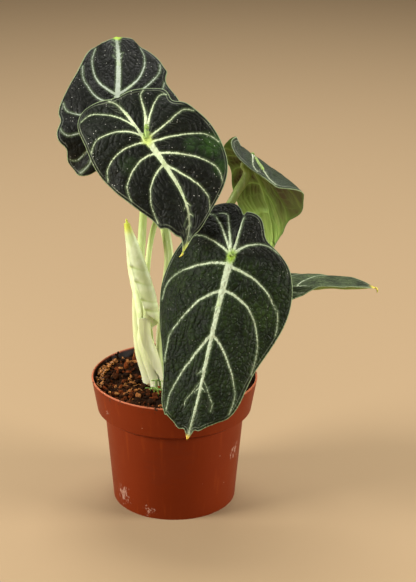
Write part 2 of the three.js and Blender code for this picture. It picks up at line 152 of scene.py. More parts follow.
def cloud(tree, where, scale, detail=3.0):
    """Soft random patches between 0 and 1."""
    inputs = {"Vector": where, "Scale": scale, "Detail": detail}
    return place(tree, "ShaderNodeTexNoise", inputs).outputs[0]


def new_material(name):
    material = bpy.data.materials.new(name)
    material.use_nodes = True
    tree = material.node_tree
    return material, tree, tree.nodes["Principled BSDF"]


def tune(shader, values):
    for key, value in values.items():
        shader.inputs[key].default_value = value


def bumped(tree, shader, height, strength, distance):
    """Gives the finish a fine relief. The distance is in metres."""
    inputs = {"Height": height, "Strength": strength, "Distance": distance}
    tree.links.new(place(tree, "ShaderNodeBump", inputs).outputs[0], shader.inputs["Normal"])


def new_group(name, inputs, outputs):
    """A shader node group with named number or vector inputs and number outputs."""
    group = bpy.data.node_groups.new(name, "ShaderNodeTree")
    for label, value in inputs.items():
        kind = "NodeSocketFloat" if isinstance(value, float) else "NodeSocketVector"
        socket = group.interface.new_socket(name=label, in_out="INPUT", socket_type=kind)
        socket.default_value = value
    for label in outputs:
        group.interface.new_socket(name=label, in_out="OUTPUT", socket_type="NodeSocketFloat")
    start = group.nodes.new("NodeGroupInput")
    end = group.nodes.new("NodeGroupOutput")
    return group, start.outputs, end.inputs


# A ragged patch round one spot, for lime, scuffs and stains.
patch_group, given, result = new_group(
    "ragged patch",
    {"Centre": (0.0, 0.0, 0.0), "Reach": 0.01, "Stretch": (1.0, 1.0, 1.0), "Scale": 300.0, "Bareness": 0.5},
    ["Mask"],
)
spot = place(patch_group, "ShaderNodeTexCoord").outputs["Object"]
ends = {0: spot, 1: given["Centre"]}
away = place(patch_group, "ShaderNodeVectorMath", ends, operation="DISTANCE").outputs["Value"]
near = place(
    patch_group, "ShaderNodeMapRange", {"Value": away, "From Min": given["Reach"], "From Max": 0.0}
).outputs["Result"]
drawn = place(
    patch_group, "ShaderNodeVectorMath", {0: spot, 1: given["Stretch"]}, operation="MULTIPLY"
).outputs[0]
flecks = place(
    patch_group,
    "ShaderNodeTexNoise",
    {"Vector": drawn, "Scale": given["Scale"], "Detail": 4.0, "Roughness": 0.65},
).outputs[0]
lifted = times(patch_group, near, 0.35)
level = plus(patch_group, flecks, lifted)
bare = math_of(patch_group, "SUBTRACT", level, given["Bareness"])
ragged = rising(patch_group, bare, 0.0, 0.06)
inside = rising(patch_group, near, 0.0, 0.25)
patch_group.links.new(times(patch_group, ragged, inside), result["Mask"])

# Small round specks, each in its own cell, in a share of the cells.
speck_group, given, result = new_group("specks", {"Scale": 500.0, "Size": 0.2, "Share": 0.3}, ["Mask"])
cells = place(
    speck_group,
    "ShaderNodeTexVoronoi",
    {"Vector": place(speck_group, "ShaderNodeTexCoord").outputs["Object"], "Scale": given["Scale"]},
)
lot = place(speck_group, "ShaderNodeSeparateColor", {"Color": cells.outputs["Color"]}).outputs[0]
chosen = math_of(speck_group, "LESS_THAN", lot, given["Share"])
half_size = times(speck_group, given["Size"], 0.5)
dot = place(
    speck_group,
    "ShaderNodeMapRange",
    {"Value": cells.outputs["Distance"], "From Min": given["Size"], "From Max": half_size},
    interpolation_type="SMOOTHSTEP",
).outputs["Result"]
speck_group.links.new(times(speck_group, dot, chosen), result["Mask"])


def grouped(tree, group, **inputs):
    """Places a node group and gives back its mask."""
    made = place(tree, "ShaderNodeGroup", node_tree=group)
    for key, value in inputs.items():
        made.inputs[key].default_value = value
    return made.outputs["Mask"]


def pot_look():
    material, tree, shader = new_material("terracotta plastic")
    where = object_place(tree)
    clay = mixed(tree, cloud(tree, where, 22), srgb(97, 29, 1), srgb(110, 36, 2))
    drawn_down = cloud(tree, object_place(tree, (1, 1, 0.08)), 260)
    clay = mixed(tree, rising(tree, drawn_down, 0.55, 0.75), clay, srgb(116, 42, 5))
    scuff = grouped(
        tree, patch_group, Centre=(-0.002, -0.049, 0.045), Reach=0.026, Stretch=(1, 1, 3), Scale=70.0,
        Bareness=0.62,
    )
    clay = mixed(tree, times(tree, scuff, 0.16), clay, srgb(84, 34, 20))
    height = height_of(tree, where)
    across = place(tree, "ShaderNodeVectorMath", {0: where, 1: (1, 1, 0)}, operation="MULTIPLY").outputs[0]
    radius = place(tree, "ShaderNodeVectorMath", {0: across}, operation="LENGTH").outputs["Value"]
    # Less the wall's own lean, the radius tells its inner face from its outer one.
    lean = math_of(tree, "SUBTRACT", radius, times(tree, height, wall_lean))
    inner = times(tree, rising(tree, lean, 0.0431, 0.0428), rising(tree, height, 0.078, 0.082))
    # The inner wall above the soil is painted nearly black.
    inner_wall_darkened = times(tree, inner, rising(tree, height, 0.0945, 0.0925))
    clay = mixed(tree, inner_wall_darkened, clay, srgb(22, 12, 7))
    # A thin bright line painted along the rim's top edge is a painted highlight on the rounded lip.
    lip = rising(tree, height, 0.0935, 0.0942)
    clay = mixed(tree, times(tree, lip, 0.45), clay, srgb(226, 140, 100))
    dusty = rising(tree, cloud(tree, where, 420), 0.56, 0.66)
    dust = times(tree, rising(tree, height, 0.088, 0.0945), dusty)
    clay = mixed(tree, dust, clay, srgb(60, 36, 22))
    lime_spots = [
        ((-0.036, -0.0285, 0.011), 0.014, (1, 1, 0.4), 620.0, 0.74),
        ((-0.017, -0.0425, 0.006), 0.010, (1, 1, 1), 500.0, 0.78),
        ((0.0445, -0.021, 0.044), 0.013, (1, 1, 0.4), 620.0, 0.77),
        ((-0.047, -0.034, 0.079), 0.005, (1, 1, 1), 700.0, 0.80),
    ]
    lime = 0.0
    for centre, reach, stretch, scale, bareness in lime_spots:
        spot_mask = grouped(
            tree, patch_group, Centre=centre, Reach=reach, Stretch=stretch, Scale=scale, Bareness=bareness
        )
        lime = math_of(tree, "MAXIMUM", lime, spot_mask)
    clay = mixed(tree, times(tree, lime, 0.45), clay, srgb(190, 160, 140))
    flecks = grouped(tree, speck_group, Scale=330.0, Size=0.12, Share=0.035)
    clay = mixed(tree, times(tree, flecks, 0.6), clay, srgb(226, 190, 168))
    tree.links.new(clay, shader.inputs["Base Color"])
    worn = times(tree, cloud(tree, where, 60), 0.22)
    chalky = times(tree, lime, 0.4)
    roughness = plus(tree, plus(tree, worn, 0.36), chalky)
    tree.links.new(roughness, shader.inputs["Roughness"])
    shader.inputs["Specular IOR Level"].default_value = 0.14
    grain = plus(tree, cloud(tree, where, 1400), times(tree, lime, 0.8))
    bumped(tree, shader, grain, 0.25, 0.0003)
    return material


def build_pot():
    points, faces = turned(pot_outside + pot_inside, pot_sides)
    pot = make_piece("pot_cup", points, faces, pot_look(), ["pot"])
    drills = []
    pin_profile = [(0, drill_low), (drain_radius, drill_low), (drain_radius, drill_high), (0, drill_high)]
    for hole in range(drain_count):
        turn = 2 * math.pi * hole / drain_count
        pin, sides = turned(pin_profile, drain_sides)
        shift = np.array([drain_ring * math.cos(turn), drain_ring * math.sin(turn), 0])
        mesh = bpy.data.meshes.new("drill")
        mesh.from_pydata(((np.array(pin) + shift) * mm).tolist(), [], sides)
        drill = bpy.data.objects.new("drill", mesh)
        bpy.context.collection.objects.link(drill)
        cut = pot.modifiers.new("hole", "BOOLEAN")
        cut.object = drill
        drills.append(drill)
    rounding = pot.modifiers.new("rounding", "BEVEL")
    rounding.width = pot_rounding * mm
    rounding.segments = 3
    rounding.angle_limit = math.radians(25)
    rounding.harden_normals = True
    settle(pot)
    for drill in drills:
        bpy.data.objects.remove(drill)


build_pot()


# Soil. Moist dark peat with crumbs, bark chips, pale rootlets, two bare twigs and a dead stub, a
# little lower at the back than at the front. A few weed seedlings and a tuft of moss grow on it.
soil_top = 88
soil_tilt = 0.06
soil_hump = 0.8
soil_reach = 57.0
soil_seed = 11
soil_rings, soil_sides = 64, 176
soil_wall = [(0, 4.65), (43.3, 4.65), (48.3, 67.2), (53.9, 72.4), (56.2, 84)]


def soil_level(x, y):
    """The soil's height in millimetres, without its crumbs."""
    broad = math.sin(x / 9) * math.cos(y / 11)
    small = 0.6 * math.sin((x + 2 * y) / 7)
    heap = 5 * math.exp(-((x + 36) ** 2 + (y - 26) ** 2) / 640)
    return soil_top - soil_tilt * y + soil_hump * (broad + small) + heap


def soil_look(name, dark, brown, rust, straw):
    """Peat and bark. The tint of each bit runs from dark over brown and rust to straw."""
    material, tree, shader = new_material(name)
    where = object_place(tree)
    tint = place(tree, "ShaderNodeAttribute", attribute_name="tint").outputs["Fac"]
    stirred = plus(tree, tint, times(tree, math_of(tree, "SUBTRACT", cloud(tree, where, 700), 0.5), 0.5))
    ramp = place(tree, "ShaderNodeValToRGB", {"Fac": stirred})
    stops = ramp.color_ramp.elements
    stops[0].position, stops[0].color = 0.0, dark
    stops[1].position, stops[1].color = 1.0, straw
    for position, colour in ((0.35, brown), (0.7, rust)):
        stops.new(position).color = colour
    tree.links.new(ramp.outputs["Color"], shader.inputs["Base Color"])
    tune(shader, {"Roughness": 0.92, "Specular IOR Level": 0.06})
    grain = plus(tree, cloud(tree, where, 1500, 5.0), times(tree, cloud(tree, where, 400), 0.7))
    bumped(tree, shader, grain, 0.9, 0.0008)
    return material


peat = soil_look("peat", srgb(20, 12, 6), srgb(50, 29, 14), srgb(104, 48, 18), srgb(170, 118, 66))


def set_numbers(piece, name, values):
    """Stores one number for each point of a piece."""
    layer = piece.data.attributes.new(name, "FLOAT", "POINT")
    layer.data.foreach_set("value", np.asarray(values, np.float32))


def build_soil_bed():
    rings = [soil_reach * share for share in np.linspace(1, 0, soil_rings)]
    points, faces = turned(soil_wall + [(radius, soil_top) for radius in rings], soil_sides)
    points = np.array(points)
    tint = np.zeros(len(points))
    for i, (x, y, z) in enumerate(points):
        if z < soil_top - 2:
            continue
        rough = noise.fractal(Vector((x, y, 3)) * 0.16, 0.7, 2.1, 5)
        edge = max(0.0, (math.hypot(x, y) - 50) / 7)
        points[i, 2] = soil_level(x, y) + 1.3 * rough - 0.4 * edge ** 2
        tint[i] = 0.18 + 0.22 * noise.noise(Vector((x, y, 40)) * 0.12)
    bed = make_piece("soil_bed", points, faces, peat, ["soil"])
    set_numbers(bed, "tint", tint)


def ball(level):
    """Points and faces of a small round net."""
    net = bmesh.new()
    bmesh.ops.create_icosphere(net, subdivisions=level, radius=1)
    points = np.array([vertex.co[:] for vertex in net.verts])
    faces = np.array([[vertex.index for vertex in face.verts] for face in net.faces])
    net.free()
    return points, faces


def any_turn(draw):
    """A random rotation."""
    turn = Matrix.Rotation(draw.uniform(0, 2 * math.pi), 3, "Z")
    tip = Matrix.Rotation(draw.uniform(0, math.pi), 3, "X")
    roll = Matrix.Rotation(draw.uniform(0, 2 * math.pi), 3, "Z")
    return np.array(turn @ tip @ roll)


def around(turn, radius):
    """A spot on the level, given by its turn round the pot's axis and its distance."""
    return radius * math.cos(turn), radius * math.sin(turn)


def scatter(name, bits, level, draw, material=peat):
    """Knobbly bits as one piece. A bit is its place, its three half sizes and its tint."""
    round_points, round_faces = ball(level)
    points, faces, tints = [], [], []
    for at, sizes, tint in bits:
        knobs = np.array([draw.uniform(0.7, 1.15) for _ in round_points])[:, None]
        shaped = round_points * knobs * np.array(sizes)
        faces.append(round_faces + len(round_points) * len(faces))
        points.append(shaped @ any_turn(draw).T + np.array(at))
        tints.extend([tint] * len(round_points))
    piece = make_piece(name, np.concatenate(points), np.concatenate(faces).tolist(), material)
    set_numbers(piece, "tint", tints)
    return piece


def build_crumbs():
    draw = random.Random(soil_seed)
    sorts = (("crumbs_coarse", 440, 1.0, 3.1, 2), ("crumbs_fine", 1500, 0.4, 1.2, 1))
    for name, count, least, most, level in sorts:
        bits = []
        for _ in range(count):
            turn = draw.uniform(0, 2 * math.pi)
            radius = (soil_reach - 1.5) * math.sqrt(draw.random())
            x, y = around(turn, radius)
            size = draw.uniform(least, most)
            tint = draw.choice([0.05, 0.1, 0.2, 0.3, 0.4, 0.5, 0.65, 0.85])
            bits.append(((x, y, soil_level(x, y) + 0.4 * size), (size, 0.8 * size, 0.6 * size), tint))
        scatter(name, bits, level, draw)


def build_bark():
    draw = random.Random(soil_seed + 1)
    bits = []
    for _ in range(46):
        turn = draw.uniform(0, 2 * math.pi)
        radius = draw.uniform(20, 54)
        x, y = around(turn, radius)
        length = draw.uniform(1.2, 3.2)
        tint = draw.choice([0.45, 0.6, 0.7, 0.9])
        bits.append(((x, y, soil_level(x, y) + 0.9), (length, 0.55 * length, 0.9), tint))
    large = ((-24, 2, 4.2, 0.66), (-40, -26, 2.6, 0.95), (-30, -8, 2.8, 0.9), (-36, 18, 3.2, 0.7))
    for x, y, length, tint in large:
        bits.append(((x, y, soil_level(x, y) + 1.4), (length, 0.6 * length, 1.3), tint))
    scatter("bark_chips", bits, 2, draw)


def smooth_path(stations, count):
    """Rows at even steps along a smooth curve through the stations, radius and all."""
    stations = np.asarray(stations, float)
    gaps = np.linalg.norm(np.diff(stations[:, :3], axis=0), axis=1)
    reach = np.concatenate([[0], np.cumsum(gaps)])
    slopes = np.diff(stations, axis=0) / gaps[:, None]
    inner = slopes[:-1] * gaps[1:, None] + slopes[1:] * gaps[:-1, None]
    inner = inner / (gaps[1:] + gaps[:-1])[:, None]
    tangents = np.vstack([slopes[:1], inner, slopes[-1:]])
    at = np.linspace(0, reach[-1], count)
    left = np.clip(np.searchsorted(reach, at, side="right") - 1, 0, len(gaps) - 1)
    t = ((at - reach[left]) / gaps[left])[:, None]
    span = gaps[left][:, None]
    start, end = stations[left], stations[left + 1]
    leave = t * (1 - t) ** 2 * span * tangents[left]
    arrive = t * t * (t - 1) * span * tangents[left + 1]
    return (1 + 2 * t) * (1 - t) ** 2 * start + leave + t * t * (3 - 2 * t) * end + arrive


def swept(path, sides, toward, section):
    """A closed bar along a path. The section gives the radius's share for each share of the
    path and each angle from the side that faces toward."""
    centres, radii = path[:, :3], path[:, 3]
    ahead = np.gradient(centres, axis=0)
    ahead /= np.linalg.norm(ahead, axis=1)[:, None]
    up = np.array(toward, float)
    turns = 2 * np.pi * np.arange(sides) / sides
    shares = np.linspace(0, 1, len(path))
    points = []
    for centre, radius, axis, share in zip(centres, radii, ahead, shares):
        up = up - axis * (up @ axis)
        up /= np.linalg.norm(up)
        side = np.cross(axis, up)
        size = radius * section(share, turns)
        points.append(centre + np.outer(size * np.cos(turns), up) + np.outer(size * np.sin(turns), side))
    points = np.concatenate(points + [centres[:1], centres[-1:]])
    faces = []
    last = len(path) - 1
    for i in range(sides):
        j = (i + 1) % sides
        for step in range(last):
            low, high = step * sides, (step + 1) * sides
            faces.append([low + i, low + j, high + j, high + i])
        faces.append([len(points) - 2, j, i])
        faces.append([len(points) - 1, last * sides + i, last * sides + j])
    return points, faces


def gathered(parts):
    """Several meshes as one."""
    points, faces, start = [], [], 0
    for part_points, part_faces in parts:
        points.append(np.asarray(part_points, float))
        faces.extend([[corner + start for corner in face] for face in part_faces])
        start += len(part_points)
    return np.concatenate(points), faces


def plain_round(share, turns):
    return np.ones_like(turns)


def build_rootlets():
    draw = random.Random(soil_seed + 2)
    threads = []
    roots = [((-37, 30), (-23, 21), 0.55), ((-35, -6), (-31, -2), 0.4), ((-27, -18), (-21, -20), 0.45)]
    for _ in range(26):
        turn = draw.uniform(0, 2 * math.pi)
        radius = draw.uniform(12, 50)
        x, y = around(turn, radius)
        heading, length = draw.uniform(0, 2 * math.pi), draw.uniform(5, 13)
        roots.append(((x, y), (x + length * math.cos(heading), y + length * math.sin(heading)), 0.26))
    for (x0, y0), (x1, y1), radius in roots:
        stations = []
        for share in np.linspace(0, 1, 6):
            x = x0 + share * (x1 - x0) + draw.uniform(-1.2, 1.2)
            y = y0 + share * (y1 - y0) + draw.uniform(-1.2, 1.2)
            if math.hypot(x, y) > 54:
                x, y = x * 54 / math.hypot(x, y), y * 54 / math.hypot(x, y)
            lift = 1.9 * math.sin(math.pi * share) + draw.uniform(-0.2, 0.5)
            stations.append((x, y, soil_level(x, y) + lift, radius * (1.1 - 0.5 * share)))
        threads.append(swept(smooth_path(stations, 20), 6, (0, 0, 1), plain_round))
    points, faces = gathered(threads)
    piece = make_piece("rootlets", points, faces, peat)
    set_numbers(piece, "tint", [0.95] * len(points))


def build_twigs():
    def knotty(share, turns):
        return 1 + 0.18 * np.sin(3 * turns + 9 * share) + 0.25 * math.sin(31 * share) ** 2

    dark = [(-40, 31, 82, 1.0), (-41, 31.5, 90, 0.9), (-43.5, 32, 95, 0.75), (-42.6, 32, 98, 0.6)]
    dark = smooth_path(dark, 26)
    spur = smooth_path([(-42.5, 31.8, 93.6, 0.6), (-44.2, 31, 95.6, 0.6), (-45.2, 31.2, 96.6, 0.45)], 10)
    stub = smooth_path([(-10.6, -20.4, 84, 1.5), (-10.8, -20.6, 90, 1.3), (-10.4, -20.8, 94, 1.0)], 16)
    pale = smooth_path([(-32, 38, 82, 1.0), (-31.5, 39, 91, 0.75), (-30, 40, 99, 0.45)], 20)
    points, faces = gathered([swept(path, 9, (0, 1, 0), knotty) for path in (dark, spur)])
    piece = make_piece("twig_dark", points, faces, peat)
    set_numbers(piece, "tint", [0.12] * len(points))
    for name, path, tint in (("twig_pale", pale, 0.75), ("dead_stub", stub, 0.6)):
        points, faces = swept(path, 9, (0, 1, 0), knotty)
        piece = make_piece(name, points, faces, peat)
        set_numbers(piece, "tint", [tint] * len(points))


def weed_look(name, deep, bright):
    """Soft green tissue, brighter in patches."""
    material, tree, shader = new_material(name)
    colour = mixed(tree, rising(tree, cloud(tree, object_place(tree), 500), 0.35, 0.65), deep, bright)
    tree.links.new(colour, shader.inputs["Base Color"])
    shader.inputs["Roughness"].default_value = 0.5
    return material


def build_moss():
    draw = random.Random(soil_seed + 3)
    bits = []
    for _ in range(110):
        turn = math.radians(draw.gauss(170, 15))
        radius = draw.uniform(51.5, 56.5)
        x, y = around(turn, radius)
        size = draw.uniform(0.6, 1.5)
        bits.append(((x, y, soil_level(x, y) + draw.uniform(0.2, 3.0)), (size, size, 0.7 * size), 0))
    scatter("moss", bits, 2, draw, weed_look("moss", srgb(86, 50, 16), srgb(186, 118, 36)))


def build_seedlings():
    def leaflet(share, turns):
        return np.sqrt(1 / (np.sin(turns) ** 2 + (np.cos(turns) / 0.24) ** 2))

    parts = []
    draw = random.Random(soil_seed + 4)
    spots = ((-13, -18, 8.5), (-9.6, -18, 8), (-17, -22, 4), (-12, -22, 3.5), (-14, -26, 4.5), (-11, -30, 5))
    for x, y, tall in spots:
        level = soil_level(x, y)
        half_way, top = level + 0.4 * tall, level + tall
        stem = [(x, y, level - 2, 0.4), (x + 0.3, y, half_way, 0.4), (x, y - 0.3, top, 0.32)]
        stem = smooth_path(stem, 10)
        parts.append(swept(stem, 7, (0, 1, 0), plain_round))
        heading = draw.uniform(-0.5, 0.5)
        for side in (0, math.pi):
            turn = heading + side
            out = np.array([math.cos(turn), math.sin(turn), 0.35])
            stations = []
            for share, half in ((0, 0.25), (0.25, 0.7), (0.55, 1.15), (0.85, 0.8), (1, 0.15)):
                at = stem[-1, :3] + out * 3.6 * share - np.array([0, 0, 1.1 * share ** 2])
                stations.append((*at, half))
            parts.append(swept(smooth_path(stations, 12), 12, (0, 0, 1), leaflet))
    points, faces = gathered(parts)
    look = weed_look("seedling", srgb(70, 100, 26), srgb(124, 156, 60))
    make_piece("seedlings", points, faces, look)


build_soil_bed()
build_crumbs()
build_bark()
build_rootlets()
build_twigs()
build_moss()
build_seedlings()


# Leaf stalks. Each leaf has a juicy pale green stalk, rounded at the back and grooved in front.
# Its foot is a thick sheath with two thin wings that clasp the next stalk. All rise from one
# clump in the soil, and each ends under its blade inside the lobes.
stalk_foot = 13
stalk_bend = 9
stalk_top = 1.9


def stalk_look(name, pale, green, foot):
    """Waxy tissue with fine lengthwise streaks, palest at the foot."""
    material, tree, shader = new_material(name)
    where = object_place(tree)
    streaks = cloud(tree, object_place(tree, (1, 1, 0.06)), 900)
    height = height_of(tree, where)
    colour = mixed(tree, rising(tree, height, 0.14, 0.25), pale, green)
    colour = mixed(tree, rising(tree, height, 0.125, 0.09), colour, foot)
    # The groove is painted a deeper green: painted shade in the groove.
    groove_painted_shade = place(tree, "ShaderNodeAttribute", attribute_name="groove").outputs["Fac"]
    colour = mixed(tree, times(tree, groove_painted_shade, 0.65), colour, green)
    light = times(tree, rising(tree, streaks, 0.5, 0.72), 0.45)
    colour = mixed(tree, light, colour, srgb(226, 230, 186))
    bruise = grouped(tree, speck_group, Scale=150.0, Size=0.13, Share=0.05)
    colour = mixed(tree, times(tree, bruise, 0.6), colour, srgb(128, 84, 62))
    tree.links.new(colour, shader.inputs["Base Color"])
    tune(shader, {
        "Roughness": 0.42, "Subsurface Weight": 0.25, "Subsurface Radius": (0.004, 0.005, 0.002),
        "Subsurface Scale": 1.0,
    })
    bumped(tree, shader, streaks, 0.35, 0.0004)
    return material


stalk_skin = stalk_look("stalk skin", srgb(198, 207, 154), srgb(156, 182, 92), srgb(204, 206, 168))


def build_stalk(name, node, stations, toward, groove=0.3, steps=110):
    """A stalk whose groove faces toward and fades out on the way up."""
    path = smooth_path(stations, steps)
    sides = 40

    def section(share, turns):
        depth = groove * math.exp(-((share - 0.1) / 0.4) ** 2) + 0.05
        fold = np.exp(-((np.abs(np.angle(np.exp(1j * turns))) / 0.42) ** 2))
        wings = np.exp(-(((np.abs(np.angle(np.exp(1j * turns))) - 0.75) / 0.28) ** 2))
        ribs = 0.012 * np.cos(14 * turns)
        return 1 - depth * fold + 0.28 * depth * wings + ribs

    points, faces = swept(path, sides, toward, section)
    piece = make_piece(name, points, faces, stalk_skin, [node])
    turns = 2 * np.pi * np.arange(sides) / sides
    fold = np.exp(-((np.abs(np.angle(np.exp(1j * turns))) / 0.5) ** 2))
    rows = [fold * math.exp(-(((i / steps) - 0.1) / 0.45) ** 2) for i in range(steps)]
    set_numbers(piece, "groove", np.concatenate(rows + [[0, 0]]))
    return piece


# Leaf blades. Firm heart-shaped blades with lobes behind the stalk, nearly black and velvety
# above, with broad silvery main veins. The tissue is puffed up between the finer veins, with
# painted shade in its creases and furrows. The edge is a pale line, partly painted highlight,
# and the tip a soft yellow point. Below they are paler and ribbed.
notch_width = 0.28
thin_vein = 0.28
half_thick_edge, half_thick_more = 0.26, 0.22
vein_crown, rib_keel = 0.2, 0.9
back_leaf = {
    "at": (-42.3, 24, 281.2), "ahead": (0.11, 0.67, 0.73), "face": (-0.01, -0.65, 0.76),
    "length": 70, "droop": (20, 40), "sway": (11, -1),
    "start": [0, 0, 0, 0, 3, 9, 15, 39, 70],
    "left": {
        "fold": 6, "curl": 14,
        "angle": [180, 158, 146, 118, 88, 45, 18, 10, 0],
        "reach": [32, 50, 53, 44, 41, 42, 60, 61, 70],
        "bow": [0, 5, 11, 28, 35, 62, 56, 34, 0],
        "lift": [0, 3, -3, 4, -3, 3, -2, 1, 0],
        "notches": [(2.5, 6), (3.5, 3)],
    },
    "right": {
        "fold": 6, "curl": 14,
        "angle": [180, 153, 118, 86, 49, 37, 17, 9, 0],
        "reach": [32, 46, 48, 49, 46, 54, 65, 68, 70],
        "bow": [0, 5, 12, 30, 34, 22, 37, 33, 0],
        "lift": [0, 2, -2, 3, -2, 2, -2, 1, 0],
        "notches": [(4.6, -3)],
    },
}
middle_leaf = {
    "at": (-18.4, -14, 272.7), "ahead": (0.57, -0.41, -0.71), "face": (-0.05, -0.92, 0.4),
    "length": 77, "droop": (12, 14), "sway": (0, -24),
    "start": [0, 0, 0, 0, 3, 12, 21, 38, 77],
    "left": {
        "fold": 8, "curl": 18,
        "angle": [180, 156, 130, 95, 60, 33, 17, 10, 0],
        "reach": [37, 35, 37, 37, 48, 61, 66, 70, 77],
        "bow": [0, -11, 15, -4, 10, 20, 6, -21, 0],
        "lift": [0, 2, -2, 3, -2, 2, -2, 1, 0],
        "notches": [(2.5, 5), (7.6, 2)],
    },
    "right": {
        "fold": 6, "curl": 18,
        "angle": [180, 173, 147, 118, 85, 54, 28, 13, 0],
        "reach": [37, 38, 53, 43, 41, 44, 54, 63, 77],
        "bow": [0, 6, 30, 41, 38, 46, 43, 5, 0],
        "lift": [0, 2, -2, 2, -1, 2, -1, 1, 0],
        "notches": [(6.3, -2.5), (7.6, 2.5)],
    },
}
front_leaf = {
    "at": (38.9, -44, 201), "ahead": (-0.25, -0.37, -0.9), "face": (-0.21, -0.91, 0.34),
    "length": 128, "droop": (8, 48), "sway": (6, -4.6),
    "start": [0, 0, 0, 6, 24, 54, 85, 103, 128],
    "left": {
        "fold": -6, "curl": 26,
        "angle": [180, 172, 122, 56, 26, 14, 8, 4, 0],
        "reach": [30, 32, 30, 58, 78, 106, 113, 118, 128],
        "bow": [0, -8, 26, 30, 53, 25, 9, 4, 0],
        "lift": [0, 3, -2, 2, -2, 1, -1, 1, 0],
        "notches": [(1.35, -2.5), (1.8, 2), (7.65, 4)],
    },
    "right": {
        "fold": -6, "curl": 26,
        "angle": [180, 157, 104, 56, 24, 12, 9, 5, 0],
        "reach": [30, 46, 37, 59, 83, 115, 117, 121, 128],
        "bow": [0, 4, 20, 25, 28, 10, -8, -6, 0],
        "lift": [0, -3, 2, -2, 2, -2, 1, -1, 0],
        "notches": [(4.7, -1.5), (7.65, 4)],
    },
}
far_leaf = {
    "at": (52.3, 32, 249.3), "ahead": (0.3, 0.62, -0.72), "face": (0.48, 0.35, 0.8),
    "length": 95, "droop": (42, 60), "sway": (-33, 23),
    "start": [0, 0, 0, 0, 5, 15, 31, 55, 95],
    "left": {
        "fold": -10, "curl": 20,
        "angle": [180, 140, 112, 98, 80, 46, 31, 18, 0],
        "reach": [28, 16, 19, 22, 23, 26, 46, 73, 95],
        "bow": [0, 5, 12, 20, 24, 28, 30, 24, 0],
        "lift": [0, 8, 8, 3, 0, -3, -3, 0, 0],
        "notches": [],
    },
    "right": {
        "fold": -9, "curl": -3,
        "angle": [180, 144, 133, 121, 74, 26, 7, 1, 0],
        "reach": [28, 47, 56, 64, 53, 54, 70, 84, 95],
        "bow": [0, 5, 12, 26, 30, 32, 30, 24, 0],
        "lift": [0, 1, 1, 2, 0, 0, -1, 0, 0],
        "notches": [],
    },
}
side_leaf = {
    "at": (61.8, 0, 160.9), "ahead": (1, -0.03, 0.08), "face": (0, -0.02, 1),
    "length": 80, "droop": (4, 8), "sway": (0, -2),
    "start": [0, 0, 0, 0, 4, 12, 25, 45, 80],
    "left": {
        "fold": 2, "curl": 6,
        "angle": [180, 153, 118, 86, 62, 44, 28, 13, 0],
        "reach": [27, 34, 33, 33, 34, 41, 51, 66, 80],
        "bow": [0, 5, 12, 26, 30, 32, 30, 24, 0],
        "lift": [-3, 0, 0, 0, 0, 0, 0, 1, 0],
        "notches": [],
    },
    "right": {
        "fold": 20, "curl": 0,
        "angle": [180, 153, 118, 86, 62, 44, 28, 13, 0],
        "reach": [27, 34, 33, 33, 34, 39, 48, 63, 80],
        "bow": [0, 5, 12, 26, 30, 32, 30, 24, 0],
        "lift": [-3, -9, -12, -12, -10, -5, 1, 0, 0],
        "notches": [],
    },
}
hidden_half = {
    "fold": 6, "curl": 12,
    "angle": [180, 153, 118, 86, 62, 44, 28, 13, 0],
    "reach": [12, 16, 15, 15, 16, 19, 24, 30, 36],
    "bow": [0, 5, 12, 26, 30, 32, 30, 24, 0],
    "lift": [0, 1, -1, 1, -1, 1, 0, 0, 0],
    "notches": [],
}
hidden_leaf = {
    "at": (8.5, 26, 253.4), "ahead": (0.28, -0.15, -0.95), "face": (0.1, -0.9, 0.3),
    "length": 36, "droop": (20, 10), "sway": (0, 0),
    "start": [0, 0, 0, 0, 2, 6, 12, 21, 36],
    "left": hidden_half, "right": hidden_half,
}


def spline(values, at):
    """A smooth curve through values that stand at 0, 1, 2 and so on."""
    values = np.asarray(values, float)
    last = len(values) - 1
    at = np.clip(at, 0, last)
    left = np.minimum(at.astype(int), last - 1)
    f = at - left
    here, there = values[left], values[left + 1]
    before = np.where(left > 0, values[np.maximum(left - 1, 0)], 2 * here - there)
    after = np.where(left < last - 1, values[np.minimum(left + 2, last)], 2 * there - here)
    curve = 2 * before - 5 * here + 4 * there - after + f * (3 * (here - there) + after - before)
    return here + 0.5 * f * (there - before + f * curve)


def flat_point(leaf, half, vein, out):
    """Where a point lies on the flattened blade: along the midrib and out from it."""
    start = spline(leaf["start"], vein)
    angle = np.radians(spline(half["angle"], vein))
    reach = spline(half["reach"], vein)
    for place_on_edge, depth in half["notches"]:
        reach = reach - depth * np.exp(-((vein - place_on_edge) / notch_width) ** 2)
    end_along, end_across = reach * np.cos(angle), reach * np.sin(angle)
    chord = np.hypot(end_along - start, end_across)
    swing = np.arctan2(end_across, end_along - start) + np.radians(spline(half["bow"], vein))
    mid_along = start + 0.5 * chord * np.cos(swing)
    mid_across = 0.5 * chord * np.sin(swing)
    rest = 1 - out
    along = rest * rest * start + 2 * out * rest * mid_along + out * out * end_along
    across = 2 * out * rest * mid_across + out * out * end_across
    return along, across


def blade_axes(leaf):
    """Ahead along the midrib, left, and up out of the upper face."""
    ahead = np.array(leaf["ahead"], float)
    ahead /= np.linalg.norm(ahead)
    up = np.array(leaf["face"], float)
    up -= ahead * (up @ ahead)
    up /= np.linalg.norm(up)
    return ahead, np.cross(up, ahead), up


